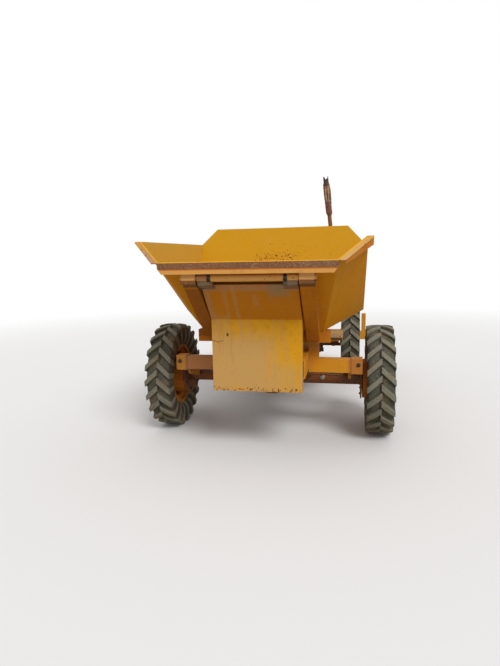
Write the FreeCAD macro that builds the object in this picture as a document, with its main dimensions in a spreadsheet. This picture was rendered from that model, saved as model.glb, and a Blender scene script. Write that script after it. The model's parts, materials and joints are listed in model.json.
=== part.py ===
"""Site dumper: front tipping skip, rigid chassis, driven front axle, steered rear axle.

Frame: millimetres, +Z up, ground at Z = 0, the front (discharge) end faces -Y and the driver's
left hand is at +X. The origin is on the ground, under the middle of the machine's box.
"""
import FreeCAD, Part
import math
import os
import Sketcher
from types import SimpleNamespace
from FreeCAD import Vector

doc = FreeCAD.newDocument("SiteDumper")
sheet = doc.addObject("Spreadsheet::Sheet", "Sizes")

# Driving dimensions: name, millimetres (degrees or a count where the name says so).
# A lead is measured ahead of the rear axle; a rise or a drop is measured from the piece it follows.
SIZES = [
    # whole machine
    ("front_overhang", 915), ("wheelbase", 1620), ("track_front", 1500), ("track_rear", 1110),
    ("working_gap", 0.3), ("plate_gauge", 6),
    # tyres and rims
    ("tyre_radius", 377.5), ("tyre_width", 180), ("lug_height", 21), ("lug_width", 50),
    ("lug_count", 21), ("lug_sweep_degrees", 12.5), ("bead_radius", 205), ("bead_half_width", 56.4),
    ("rim_half_width", 62), ("rim_flange_radius", 220), ("rim_gauge", 5), ("rim_well_radius", 172),
    ("disc_offset", 24), ("hub_radius", 62), ("drum_radius", 136), ("drum_width", 50),
    # skip body, as sheet-metal planes
    ("floor_clearance", 153), ("lip_rise", 442), ("side_rise", 123), ("headboard_rise", 124),
    ("side_fold_rise", 88), ("lip_half_width", 488), ("lip_setback", 6), ("slope_run", 520),
    ("floor_half_width", 390), ("floor_end_lead", 1469), ("skip_half_width", 640),
    ("corner_run", 133), ("headboard_lean", 400), ("headboard_top_half", 526),
    ("skip_gauge", 6), ("rim_flange_width", 28), ("rim_flange_gauge", 7),
    ("lip_bar_depth", 32), ("lip_channel_depth", 30), ("lip_channel_taper", 21),
    # skip underframe
    ("rib_apron_gap", 10), ("rib_width", 80), ("rib_depth", 60), ("rib_nose_height", 56),
    ("rib_nose_reach", 28), ("rib_tail_inset", 21), ("bearer_height", 78),
    ("bearer_length", 60), ("bearer_reach", 430), ("bearer_inner", 120), ("bearer_setback", 4),
    ("ram_lug_gap", 64), ("ram_lug_gauge", 12), ("ram_lug_depth", 108), ("ram_eye_drop", 73),
    ("ram_eye_inset", 51), ("ram_lug_length", 80),
    # tipping pivot
    ("pivot_setback", 57), ("pivot_drop", 25), ("pivot_tube_radius", 19),
    ("pivot_shaft_radius", 12.95), ("pivot_fit", 0.05), ("pivot_side_gap", 5),
    ("pivot_cap_radius", 20), ("pivot_cap_length", 10),
    # front stand and apron
    ("apron_half_width", 274), ("apron_setback", 301), ("apron_drop", 72),
    ("apron_fold_gap", 94.25), ("apron_overhang", 198), ("apron_top_gap", 44.55),
    ("apron_return", 53), ("cheek_gauge", 12), ("cheek_depth", 168), ("cheek_drop", 60),
    # chassis frame
    ("rail_inner", 215), ("rail_width", 70), ("rail_depth", 120), ("rail_lift", 122.5),
    ("rail_wall", 8), ("crossmember_depth", 80), ("crossmember_length", 60),
    # outriggers across the front, over the axle
    ("outrigger_setback", 272), ("outrigger_length", 72), ("outrigger_drop", 23),
    ("outrigger_depth", 88), ("outrigger_tyre_gap", 28), ("end_block_length", 72),
    ("end_block_proud", 6), ("rest_leg_width", 65), ("axle_strap_gauge", 20),
    # drive axle
    ("axle_tube_radius", 45), ("diff_radius", 128), ("diff_length", 150), ("pinion_length", 170),
    ("backplate_radius", 143), ("backplate_gauge", 8), ("axle_pad_length", 120),
    # transmission and engine
    ("gearbox_side_gap", 85), ("gearbox_length", 300), ("gearbox_drop", 200),
    ("gearbox_height", 310), ("prop_shaft_radius", 28), ("engine_side_gap", 25),
    ("engine_lead", 70), ("engine_length", 500), ("engine_height", 290),
    ("clutch_radius", 150), ("clutch_length", 60),
    # steered rear axle
    ("kingpin_inset", 150), ("kingpin_radius", 15), ("kingpin_fit", 0.05), ("beam_height", 80),
    ("beam_length", 80), ("eye_radius", 34), ("knuckle_gauge", 22), ("knuckle_gap", 1),
    ("spindle_radius", 27), ("track_arm_length", 130), ("track_arm_inset", 22),
    ("track_rod_radius", 13), ("drag_arm_length", 150), ("axle_pin_radius", 20),
    ("axle_ear_gauge", 16), ("arm_gauge", 14), ("arm_width", 40), ("ball_radius", 20),
    # tipping ram; the margins are what each stage stops short of the closed length
    ("ram_base_setback", 370), ("ram_base_drop", 30), ("ram_barrel_radius", 45),
    ("ram_sleeve_radius", 34), ("ram_rod_radius", 23), ("ram_pin_radius", 12.5),
    ("ram_eye_radius", 32), ("ram_eye_width", 50), ("ram_barrel_margin", 82.3),
    ("ram_sleeve_margin", 64.3), ("ram_collar_length", 28), ("ram_collar_gauge", 5),
    # driver's place
    ("platform_drop", 68), ("platform_gauge", 5), ("platform_arm_gap", 80),
    ("platform_rear_lead", 470), ("foot_plate_width", 205), ("platform_skirt", 30),
    ("platform_bracket", 20), ("console_half_width", 120), ("console_lead", 1060),
    ("console_length", 150), ("console_height", 280), ("column_radius", 24),
    ("column_setback", 30), ("column_rake", 190), ("column_rise", 530), ("column_shaft", 11.95),
    ("wheel_rim_radius", 190), ("wheel_rim_thickness", 13), ("wheel_hub_radius", 30),
    ("steering_drop_arm", 120), ("steering_arm_lead", 1020), ("steering_pin_radius", 12),
    ("steering_pin_proud", 8), ("seat_cowl_gap", 50), ("seat_base_length", 430),
    ("seat_base_half", 230), ("seat_base_height", 200), ("cushion_inset", 5),
    ("cushion_height", 80), ("back_height", 340), ("back_gauge", 75),
    # levers and pedals
    ("lever_radius", 7), ("knob_radius", 17), ("lever_socket", 22), ("tip_lever_drop", 65),
    ("tip_lever_setback", 50), ("tip_lever_splay", 52), ("tip_lever_rake", 80),
    ("tip_lever_rise", 240), ("gear_lever_offset", 70), ("gear_lever_setback", 90),
    ("gear_lever_rake", 60), ("gear_lever_rise", 360), ("brake_lever_offset", 190),
    ("brake_lever_setback", 130), ("brake_lever_rake", 60), ("brake_lever_rise", 335),
    ("pedal_offset", 56), ("pedal_rise", 135), ("pedal_width", 62), ("pedal_height", 86),
    ("pedal_gauge", 8), ("pedal_reach", 44),
    # engine cowl, hood and exhaust
    ("engine_front_gap", 50), ("engine_rear_gap", 30), ("cowl_overhang", 45),
    ("cowl_height", 340), ("cowl_gauge", 4), ("hood_rise", 40), ("hood_skirt", 30),
    ("hood_side_gap", 5), ("hinge_radius", 8), ("hinge_setback", 9), ("louvre_length", 150),
    ("louvre_height", 14), ("louvre_proud", 8), ("louvre_drop", 52), ("louvre_pitch", 30),
    ("louvre_setback", 180), ("louvre_gap", 40), ("grille_bar_count", 11),
    ("grille_bar_width", 8), ("grille_half_width", 220), ("grille_sill", 70),
    ("grille_margin", 40), ("grille_frame", 20),
    ("exhaust_radius", 19), ("exhaust_offset", 36), ("exhaust_setback", 60),
    ("exhaust_outlet_drop", 75), ("exhaust_riser", 615), ("silencer_radius", 36),
    ("silencer_rise", 60), ("silencer_length", 190), ("silencer_sleeve", 215),
    ("exhaust_tip", 45), ("exhaust_lean", 50),
    # fuel tank
    ("tank_lead", 860), ("tank_length", 330), ("tank_height", 210), ("tank_width", 150),
    # rear bumper, tow clevis and mudguards
    ("bumper_length", 50), ("bumper_half_width", 720), ("bumper_drop", 200),
    ("bumper_height", 90), ("upright_width", 45), ("upright_height", 290), ("tow_ear_gauge", 18),
    ("tow_pin_radius", 13), ("tow_ear_reach", 65), ("tow_ear_half", 35),
    ("mudguard_clearance", 81), ("mudguard_inset", 40), ("mudguard_overlap", 5),
    ("mudguard_half_length", 330), ("mudguard_gauge", 4), ("mudguard_flap", 76),
    ("mudguard_flap_drop", 48), ("mudguard_edge", 28), ("mudguard_rear_drop", 84),
]


class Dim:
    """A length together with the sheet expression that it comes from."""

    def __init__(self, value, text):
        self.value = float(value)
        self.text = text

    def __add__(self, other):
        other = as_dim(other)
        return Dim(self.value + other.value, "(%s + %s)" % (self.text, other.text))

    def __sub__(self, other):
        other = as_dim(other)
        return Dim(self.value - other.value, "(%s - %s)" % (self.text, other.text))

    def __mul__(self, other):
        other = as_dim(other)
        return Dim(self.value * other.value, "(%s * %s)" % (self.text, other.text))

    def __truediv__(self, other):
        other = as_dim(other)
        return Dim(self.value / other.value, "(%s / %s)" % (self.text, other.text))

    def __radd__(self, other):
        return as_dim(other) + self

    def __rsub__(self, other):
        return as_dim(other) - self

    def __rmul__(self, other):
        return as_dim(other) * self

    def __neg__(self):
        return Dim(-self.value, "(0 - %s)" % self.text)


def as_dim(number):
    """Wrap a plain number, so that it can stand beside a sheet value."""
    if isinstance(number, Dim):
        return number
    return Dim(number, "%r" % float(number) if number >= 0 else "(0 - %r)" % float(-number))


def mm(number):
    """Return the plain value of a sheet size or a number."""
    return number.value if isinstance(number, Dim) else float(number)


def fill_sheet():
    """Write the driving dimensions into the sheet and return them by name."""
    sizes = {}
    for row, (name, value) in enumerate(SIZES, start=1):
        sheet.set("A%d" % row, name)
        sheet.set("B%d" % row, str(value))
        sheet.setAlias("B%d" % row, name)
        sizes[name] = Dim(value, "Sizes." + name)
    doc.recompute()
    return SimpleNamespace(**sizes)


s = fill_sheet()

PLANES = {"XY": "XY_Plane", "XZ": "XZ_Plane", "YZ": "YZ_Plane"}
AXIS_TURNS = {"X": (Vector(0, 1, 0), 90), "Y": (Vector(1, 0, 0), -90), "Z": (Vector(0, 0, 1), 0)}


def bind(item, **expressions):
    """Set properties from sheet sizes; two underscores stand for a dot in the property's path."""
    for path, number in expressions.items():
        item.setExpression(path.replace("__", "."), as_dim(number).text)


def place(item, x=0, y=0, z=0):
    """Put an object's origin at a point that follows the sheet."""
    bind(item, Placement__Base__x=x, Placement__Base__y=y, Placement__Base__z=z)


def box(name, x, y, z):
    """A rectangular block between pairs of X, Y and Z limits."""
    item = doc.addObject("Part::Box", name)
    bind(item, Length=x[1] - as_dim(x[0]), Width=y[1] - as_dim(y[0]), Height=z[1] - as_dim(z[0]))
    place(item, x[0], y[0], z[0])
    return item


def rod(name, radius, start, length, axis):
    """A round bar along X, Y or Z from its start point."""
    item = doc.addObject("Part::Cylinder", name)
    item.Placement.Rotation = FreeCAD.Rotation(*AXIS_TURNS[axis])
    bind(item, Radius=radius, Height=length)
    place(item, *start)
    return item


def joined(name, pieces):
    """One object from pieces that touch or overlap."""
    item = doc.addObject("Part::MultiFuse", name)
    item.Shapes = pieces
    item.Refine = True
    return item


def grouped(name, pieces):
    """One object from pieces that stand apart."""
    item = doc.addObject("Part::Compound", name)
    item.Links = pieces
    return item


def without(name, base, tool):
    """The base with the tool's volume taken away."""
    item = doc.addObject("Part::Cut", name)
    item.Base = base
    item.Tool = tool
    item.Refine = True
    return item


def mirrored(name, source):
    """The source reflected across the machine's centre plane."""
    item = doc.addObject("Part::Mirroring", name)
    item.Source = source
    item.Normal = (1, 0, 0)
    return item


def outline_sketch(body, plane, corners):
    """A closed sketch of straight lines whose corners follow the sheet."""
    sketch = body.newObject("Sketcher::SketchObject", body.Name + "_outline")
    origin = [item for item in body.Origin.OriginFeatures if item.Role == PLANES[plane]][0]
    sketch.AttachmentSupport = [(origin, "")]
    sketch.MapMode = "FlatFace"
    count = len(corners)
    points = [Vector(mm(u), mm(v), 0) for u, v in corners]
    for i in range(count):
        sketch.addGeometry(Part.LineSegment(points[i], points[(i + 1) % count]), False)
    for i in range(count):
        sketch.addConstraint(Sketcher.Constraint("Coincident", i, 2, (i + 1) % count, 1))
    for i, corner in enumerate(corners):
        for kind, number in zip(("DistanceX", "DistanceY"), corner):
            index = sketch.addConstraint(Sketcher.Constraint(kind, -1, 1, i, 1, mm(number)))
            if isinstance(number, Dim):
                sketch.setExpression("Constraints[%d]" % index, number.text)
    return sketch


def plate(name, plane, corners, low, high):
    """A flat profile in a plane, raised between two stations along that plane's normal."""
    body = doc.addObject("PartDesign::Body", name)
    sketch = outline_sketch(body, plane, corners)
    start = -as_dim(high) if plane == "XZ" else as_dim(low)
    sketch.setExpression("AttachmentOffset.Base.z", start.text)
    pad = body.newObject("PartDesign::Pad", name + "_pad")
    pad.Profile = sketch
    pad.setExpression("Length", (as_dim(high) - low).text)
    return body


def turned(name, corners, x=0, y=0, z=0):
    """A profile (X, radius) turned about an axis along X through a point."""
    body = doc.addObject("PartDesign::Body", name)
    sketch = outline_sketch(body, "XZ", corners)
    turn = body.newObject("PartDesign::Revolution", name + "_turn")
    turn.Profile = sketch
    turn.ReferenceAxis = (sketch, ["H_Axis"])
    turn.Angle = 360
    place(body, x, y, z)
    return body


def freeform(name, shape):
    """An object whose shape is worked out in code from the sheet's sizes."""
    item = doc.addObject("Part::Feature", name)
    item.Shape = shape
    return item


# Main stations along the machine.
tail_length = s.engine_length - s.engine_lead + s.engine_rear_gap
rear_overhang = tail_length + s.bumper_length + s.tow_ear_reach
front_axle_y = (s.front_overhang - rear_overhang - s.wheelbase) / 2
rear_axle_y = front_axle_y + s.wheelbase
front_face = front_axle_y - s.front_overhang
cowl_end = rear_axle_y + tail_length
engine_y = rear_axle_y - s.engine_lead
clutch_y = engine_y - s.clutch_length
cowl_y = clutch_y - s.engine_front_gap
seat_rear_y = cowl_y - s.seat_cowl_gap
seat_front_y = seat_rear_y - s.seat_base_length
console_y = rear_axle_y - s.console_lead
console_back = console_y + s.console_length
gearbox_y = front_axle_y + s.pinion_length
gearbox_end = gearbox_y + s.gearbox_length
pivot_y = front_face + s.pivot_setback
lip_y = front_face + s.lip_setback
slope_foot_y = lip_y + s.slope_run
floor_rear_y = rear_axle_y - s.floor_end_lead
apron_y = front_face + s.apron_setback
apron_back = apron_y + s.plate_gauge
return_back = apron_back + s.apron_return

# Main heights, from the axles up through the frame to the skip and the cowl.
axle_z = s.tyre_radius
rail_bottom = axle_z + s.rail_lift
rail_top = rail_bottom + s.rail_depth
cross_top = rail_top - s.rail_wall
apron_bottom = rail_bottom - s.apron_drop
outrigger_bottom = rail_bottom - s.outrigger_drop
gearbox_bottom = rail_bottom - s.gearbox_drop
shaft_z = gearbox_bottom + s.gearbox_height / 2
bumper_bottom = rail_bottom - s.bumper_drop
ram_base_height = rail_top - s.ram_base_drop
platform_top = rail_top - s.platform_drop
platform_under = platform_top - s.platform_gauge
console_bottom = rail_top + s.platform_gauge
console_top = console_bottom + s.console_height
cowl_top = rail_top + s.cowl_height
grille_bottom = rail_top + s.grille_sill
grille_top = cowl_top - s.grille_margin
mudguard_height = s.tyre_radius * 2 + s.mudguard_clearance
floor_height = rail_top + s.floor_clearance
side_fold_height = floor_height + s.side_fold_rise
lip_height = floor_height + s.lip_rise
side_top_height = lip_height + s.side_rise
headboard_height = side_top_height + s.headboard_rise
lip_bar_bottom = lip_height - s.lip_bar_depth
channel_bottom = lip_bar_bottom - s.lip_channel_depth
pivot_z = channel_bottom - s.pivot_drop

# Half widths, from the rails and the wheels.
rail_outer = s.rail_inner + s.rail_width
cowl_half_width = rail_outer + s.cowl_overhang
platform_half_width = rail_outer + s.foot_plate_width
outrigger_end = s.track_front / 2 - s.tyre_width / 2 - s.outrigger_tyre_gap
outrigger_reach = outrigger_end - s.end_block_length
rib_inner = s.apron_half_width + s.rib_apron_gap
kingpin_half = s.track_rear / 2 - s.kingpin_inset
mudguard_inner = cowl_half_width + s.mudguard_inset
mudguard_outer = s.track_rear / 2 + s.tyre_width / 2 + s.mudguard_overlap

# Outer face of the skip's front slope, which the upper apron runs below.
slope_fall = (lip_height - floor_height) / s.slope_run


def slope_y(height):
    """Y of the front slope's outer face at a height."""
    return lip_y + (lip_height - height) / slope_fall


def slope_z(y):
    """Height of the front slope's outer face at a station."""
    return lip_height - (y - lip_y) * slope_fall


apron_fold_height = slope_z(apron_y) - s.apron_fold_gap
apron_top_height = slope_z(apron_y - s.apron_overhang) - s.apron_top_gap

# Steering linkage points: the drag link's two ends and the drop arm on its pin.
drag_front = (rail_outer + s.arm_width, rear_axle_y - s.steering_arm_lead)
drag_rear = (kingpin_half - s.drag_arm_length, rear_axle_y)
drag_z = axle_z + s.beam_height / 2 + s.knuckle_gap + s.knuckle_gauge + s.working_gap + s.ball_radius
drop_pivot_z = drag_z + s.steering_drop_arm
drop_arm_x = drag_front[0] - s.ball_radius * 0.6 - s.working_gap - s.arm_gauge


# Skip: the tub is a solid bounded by sloping planes, hollowed by the same planes moved inwards.

def on_side(vector, side):
    """The vector, or its mirror image on the machine's right."""
    return Vector(side * vector.x, vector.y, vector.z)


def outward_planes():
    """Point and outward normal of each outer face of the tub below its rim."""
    lip = Vector(mm(s.lip_half_width), mm(lip_y), mm(lip_height))
    foot = Vector(mm(s.floor_half_width), mm(slope_foot_y), mm(floor_height))
    corner = Vector(mm(s.skip_half_width), mm(lip_y + s.corner_run), mm(side_top_height))
    floor_edge = Vector(mm(s.floor_half_width), mm(floor_rear_y), mm(floor_height))
    side_fold = Vector(mm(s.skip_half_width), mm(floor_rear_y), mm(side_fold_height))
    slope_normal = Vector(0, -(lip.z - foot.z), -(foot.y - lip.y))
    rear_normal = Vector(0, mm(headboard_height) - foot.z, -mm(s.headboard_lean))
    corner_normal = (corner - lip).cross(foot - lip)
    if corner_normal.x < 0:
        corner_normal = -corner_normal
    haunch_normal = Vector(side_fold.z - floor_edge.z, 0, -(side_fold.x - floor_edge.x))
    planes = {"floor": (foot, Vector(0, 0, -1)), "slope": (foot, slope_normal),
              "rear": (floor_edge, rear_normal)}
    for side in (-1, 1):
        planes["side %d" % side] = (on_side(corner, side), Vector(side, 0, 0))
        planes["corner %d" % side] = (on_side(lip, side), on_side(corner_normal, side))
        planes["haunch %d" % side] = (on_side(floor_edge, side), on_side(haunch_normal, side))
    return {key: (point, normal.normalize()) for key, (point, normal) in planes.items()}


def inside_planes(planes, offsets):
    """The solid inside all planes, each moved outwards by its own offset."""
    reach = 6 * mm(s.skip_half_width)
    middle = Vector(0, mm((slope_foot_y + floor_rear_y) / 2), mm(lip_height))
    solid = Part.makeBox(reach, reach, reach, middle - Vector(reach / 2, reach / 2, reach / 2))
    for key, (point, normal) in planes.items():
        away = Part.makeBox(2 * reach, 2 * reach, reach, Vector(-reach, -reach, 0))
        away.Placement = FreeCAD.Placement(point + normal * offsets.get(key, 0.0),
                                           FreeCAD.Rotation(Vector(0, 0, 1), normal))
        solid = solid.cut(away)
    return solid


def prism(corners, low, high, along):
    """A solid from a closed polygon of points, carried from low to high along X or Y."""
    if along == "X":
        points = [Vector(low, y, z) for y, z in corners]
        travel = Vector(high - low, 0, 0)
    else:
        points = [Vector(x, low, z) for x, z in corners]
        travel = Vector(0, high - low, 0)
    return Part.Face(Part.makePolygon(points + points[:1])).extrude(travel)


def headboard_inner_y(height):
    """Y of the headboard's inner face at a height."""
    lean, rise = mm(s.headboard_lean), mm(headboard_height - floor_height)
    slant = math.hypot(lean, rise)
    outer = mm(floor_rear_y) + (height - mm(floor_height)) * lean / rise
    return outer - mm(s.skip_gauge) * slant / rise


def rim_line():
    """Side view of the rim: from ahead of the lip, up the corners, then level to the headboard."""
    side_top, lip_z = mm(side_top_height), mm(lip_height)
    slant = (side_top - lip_z) / mm(s.corner_run)
    ahead = mm(s.rim_flange_width) * 3
    return [(mm(lip_y) - ahead, lip_z - ahead * slant),
            (mm(lip_y + s.corner_run), side_top),
            (headboard_inner_y(side_top), side_top)]


def make_skip_tub():
    """The open tub: floor, front slope, corner facets, sides, haunches and headboard."""
    planes = outward_planes()
    gauge = mm(s.skip_gauge)
    shell = inside_planes(planes, {}).cut(inside_planes(planes, {key: -gauge for key in planes}))
    top, side_top, low = mm(headboard_height), mm(side_top_height), mm(floor_height) - gauge
    far = mm(floor_rear_y) + 2 * mm(s.headboard_lean)
    rim = rim_line()
    side_view = rim + [(headboard_inner_y(top), top), (far, top), (far, low), (rim[0][0], low)]
    wide, shoulder = 2 * mm(s.skip_half_width), mm(s.headboard_top_half)
    corner = mm(s.skip_half_width)
    front_view = [(-wide, low), (-wide, side_top), (-corner, side_top), (-shoulder, top),
                  (shoulder, top), (corner, side_top), (wide, side_top), (wide, low)]
    shell = shell.common(prism(side_view, -wide, wide, "X"))
    shell = shell.common(prism(front_view, rim[0][0], far, "Y"))
    return freeform("skip_tub", shell)


def make_skip_rim_flange():
    """Flat bars turned outwards along the rim of the corner facets and the sides."""
    planes = outward_planes()
    width = mm(s.rim_flange_width)
    grown = {key: width for key in planes if key.startswith(("corner", "side"))}
    rim = rim_line()
    drop = mm(s.rim_flange_gauge)
    slant = math.atan2(rim[1][1] - rim[0][1], rim[1][0] - rim[0][0])
    inner = [(rim[2][0], rim[2][1] - drop),
             (rim[1][0] + drop * math.tan(slant / 2), rim[1][1] - drop),
             (rim[0][0] + drop * math.sin(slant), rim[0][1] - drop * math.cos(slant))]
    band = prism(rim + inner, -2 * mm(s.skip_half_width), 2 * mm(s.skip_half_width), "X")
    flange = band.common(inside_planes(planes, grown)).cut(inside_planes(planes, {}))
    return freeform("skip_rim_flange", flange)


def make_lip():
    """Worn edge bar along the lip and the closed channel that stiffens it from below."""
    bar = plate("skip_lip_bar", "YZ",
                [(front_face, lip_height), (front_face, lip_bar_bottom),
                 (slope_y(lip_bar_bottom), lip_bar_bottom), (lip_y, lip_height)],
                -s.lip_half_width, s.lip_half_width)
    channel_face = front_face + s.lip_setback / 2
    blank = plate("channel_blank", "YZ",
                  [(channel_face, lip_bar_bottom), (channel_face, channel_bottom),
                   (slope_y(channel_bottom), channel_bottom),
                   (slope_y(lip_bar_bottom), lip_bar_bottom)],
                  -s.lip_half_width, s.lip_half_width)
    reach = s.lip_half_width + s.rim_flange_width
    wedge = plate("channel_end", "XZ",
                  [(s.lip_half_width, lip_bar_bottom), (s.lip_half_width - s.lip_channel_taper,
                                                        channel_bottom),
                   (reach, channel_bottom - 1), (reach, lip_bar_bottom)],
                  front_face - 1, slope_y(channel_bottom) + 1)
    ends = grouped("channel_ends", [wedge, mirrored("channel_end_right", wedge)])
    channel = without("skip_lip_channel", blank, ends)
    return bar, channel


def make_underframe():
    """Two box ribs from the pivot down the slope and under the floor, bearers and ram lugs."""
    fall = math.atan2(mm(lip_height - floor_height), mm(s.slope_run))
    nose_front = pivot_y - s.rib_nose_reach
    nose_bottom = channel_bottom - s.rib_nose_height
    runner_bottom = floor_height - s.rib_depth
    shift = s.rib_depth / math.cos(fall)
    outline = [(nose_front, channel_bottom), (nose_front, nose_bottom),
               (slope_y(nose_bottom + shift), nose_bottom),
               (slope_y(runner_bottom + shift), runner_bottom),
               (floor_rear_y - s.rib_tail_inset, runner_bottom),
               (floor_rear_y - s.rib_tail_inset, floor_height), (slope_foot_y, floor_height),
               (slope_y(channel_bottom), channel_bottom)]
    rib_outer = rib_inner + s.rib_width
    rib = plate("rib_blank", "YZ", outline, rib_inner, rib_outer)
    bore = rod("rib_bore", s.pivot_shaft_radius, (rib_inner - 1, pivot_y, pivot_z),
               s.rib_width + 2, "X")
    bored = without("rib_bored", rib, bore)
    bearer_y = slope_foot_y + s.bearer_setback
    bearer = box("bearer", (s.bearer_inner, s.bearer_reach),
                 (bearer_y, bearer_y + s.bearer_length),
                 (floor_height - s.bearer_height, floor_height))
    lug_x = s.ram_lug_gap / 2
    eye_y = floor_rear_y - s.ram_eye_inset
    eye_z = floor_height - s.ram_eye_drop
    half = s.ram_lug_length / 2
    lug = plate("ram_lug_blank", "YZ",
                [(eye_y - half, floor_height), (eye_y - half * 0.6,
                                                  floor_height - s.ram_lug_depth),
                 (eye_y + half * 0.6, floor_height - s.ram_lug_depth),
                 (eye_y + half, floor_height)], lug_x, lug_x + s.ram_lug_gauge)
    boss = rod("ram_pin_boss", s.ram_pin_radius, (lug_x, eye_y, eye_z),
               s.ram_lug_gauge * 2, "X")
    left = joined("underframe_left", [bored, bearer])
    lugs = joined("ram_lug_left", [lug, boss])
    return grouped("skip_underframe", [left, mirrored("underframe_right", left),
                                       lugs, mirrored("ram_lug_right", lugs)])


def make_pivot_shaft():
    """Shaft that the skip turns on, with a cap outside each rib."""
    reach = rib_inner + s.rib_width
    shaft = rod("shaft_bar", s.pivot_shaft_radius, (-reach, pivot_y, pivot_z), reach * 2, "X")
    cap = rod("shaft_cap", s.pivot_cap_radius, (reach, pivot_y, pivot_z), s.pivot_cap_length, "X")
    return joined("pivot_shaft", [shaft, cap, mirrored("shaft_cap_right", cap)])


# Front stand: two cheeks and the pivot tube, with the folded apron in front of them.

apron_rise = (apron_top_height - apron_fold_height) / s.apron_overhang
apron_slant = math.atan2(mm(apron_top_height - apron_fold_height), mm(s.apron_overhang))
apron_top_back_y = apron_y - s.apron_overhang + s.plate_gauge * math.sin(apron_slant)
apron_top_back_z = apron_top_height + s.plate_gauge * math.cos(apron_slant)


def apron_back_z(y):
    """Height of the upper apron's rear face at a station."""
    return apron_top_back_z - (y - apron_top_back_y) * apron_rise


def make_apron():
    """Folded front plate: upright below, leaning forward above, with returns at both edges."""
    fold_back = apron_back_z(apron_back)
    sheet_metal = plate("apron_sheet", "YZ",
                        [(apron_y, apron_bottom), (apron_y, apron_fold_height),
                         (apron_y - s.apron_overhang, apron_top_height),
                         (apron_top_back_y, apron_top_back_z), (apron_back, fold_back),
                         (apron_back, apron_bottom)],
                        -s.apron_half_width, s.apron_half_width)
    return_back = apron_back + s.apron_return
    tip_y = apron_top_back_y + s.plate_gauge * 3
    edge = plate("apron_return_left", "YZ",
                 [(apron_back, apron_bottom), (return_back, apron_bottom),
                  (return_back, apron_fold_height + s.plate_gauge),
                  (tip_y, apron_back_z(tip_y)), (apron_back, fold_back)],
                 s.apron_half_width - s.plate_gauge, s.apron_half_width)
    return joined("front_apron", [sheet_metal, edge, mirrored("apron_return_right", edge)])


def make_stand():
    """Cheek plates that rise from the rails and hold the pivot tube, and the ram's base pin."""
    outer = s.rail_inner
    inner = s.rail_inner - s.cheek_gauge
    foot_back = apron_back + s.cheek_depth
    tube = s.pivot_tube_radius
    outline = [(apron_back, rail_bottom - s.cheek_drop), (apron_back, apron_back_z(apron_back)),
               (apron_top_back_y, apron_top_back_z), (pivot_y - tube * 0.2, pivot_z - tube * 0.95),
               (pivot_y - tube * 0.2, pivot_z + tube * 0.95),
               (pivot_y + tube * 0.6, pivot_z + tube * 0.8),
               (apron_back + tube * 2.5, apron_fold_height + tube * 1.7),
               (apron_back + tube * 5.7, apron_fold_height - tube * 3.7),
               (foot_back, rail_top + tube), (foot_back, rail_bottom),
               (apron_back + tube * 2.5, rail_bottom - s.cheek_drop)]
    cheek = plate("cheek_left", "YZ", outline, inner, outer)
    reach = rib_inner - s.pivot_side_gap
    bar = rod("pivot_bar", tube, (-reach, pivot_y, pivot_z), reach * 2, "X")
    pin = rod("ram_base_pin", s.ram_pin_radius,
              (-inner, front_face + s.ram_base_setback, ram_base_height), inner * 2, "X")
    solid = joined("stand_solid", [cheek, mirrored("cheek_right", cheek), bar, pin])
    bore = rod("pivot_bore", s.pivot_shaft_radius + s.pivot_fit, (-reach - 1, pivot_y, pivot_z),
               reach * 2 + 2, "X")
    return without("front_stand", solid, bore)


# Chassis frame.

def crossmember(name, y):
    """A bar between the rails, its top below the rail's top by the rail's wall."""
    return box(name, (-s.rail_inner, s.rail_inner), (y, y + s.crossmember_length),
               (cross_top - s.crossmember_depth, cross_top))


def make_chassis():
    """Two hollow rails joined by crossmembers, with the rear axle's pivot ears."""
    tube = box("rail_tube", (s.rail_inner, rail_outer), (return_back, cowl_end),
               (rail_bottom, rail_top))
    hollow = box("rail_hollow", (s.rail_inner + s.rail_wall, rail_outer - s.rail_wall),
                 (return_back - 1, cowl_end + 1),
                 (rail_bottom + s.rail_wall, rail_top - s.rail_wall))
    rail = without("rail_left", tube, hollow)
    # name, station of the bar's front face
    bars = [crossmember("crossmember_mid", gearbox_end),
            crossmember("crossmember_seat", seat_front_y),
            crossmember("crossmember_axle", rear_axle_y - s.crossmember_length / 2),
            crossmember("crossmember_rear", cowl_end - s.crossmember_length)]
    top = cross_top - s.crossmember_depth
    ear_start = s.beam_length / 2 + s.knuckle_gap
    bottom = axle_z - s.beam_height / 2 - s.axle_ear_gauge
    ears = []
    for name, low, high in (("ear_front", -ear_start - s.axle_ear_gauge, -ear_start),
                            ("ear_rear", ear_start, ear_start + s.axle_ear_gauge)):
        ears.append(plate(name, "XZ",
                          [(-s.rail_inner / 2, top + s.rail_wall), (-s.rail_inner / 5, bottom),
                           (s.rail_inner / 5, bottom), (s.rail_inner / 2, top + s.rail_wall)],
                          rear_axle_y + low, rear_axle_y + high))
    pad = box("ear_pad", (-s.rail_inner / 2, s.rail_inner / 2),
              (rear_axle_y - ear_start - s.axle_ear_gauge,
               rear_axle_y + ear_start + s.axle_ear_gauge), (top, top + s.axle_ear_gauge))
    pin = rod("rear_axle_pin", s.axle_pin_radius,
              (0, rear_axle_y - ear_start - s.axle_ear_gauge * 1.5, axle_z),
              (ear_start + s.axle_ear_gauge * 1.5) * 2, "Y")
    steering_pin = rod("steering_pin", s.steering_pin_radius, (rail_outer, drag_front[1],
                                                               drop_pivot_z),
                       drop_arm_x + s.arm_gauge + s.steering_pin_proud - rail_outer, "X")
    return joined("chassis_frame", [rail, mirrored("rail_right", rail), pad, pin, steering_pin]
                  + bars + ears)


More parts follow.
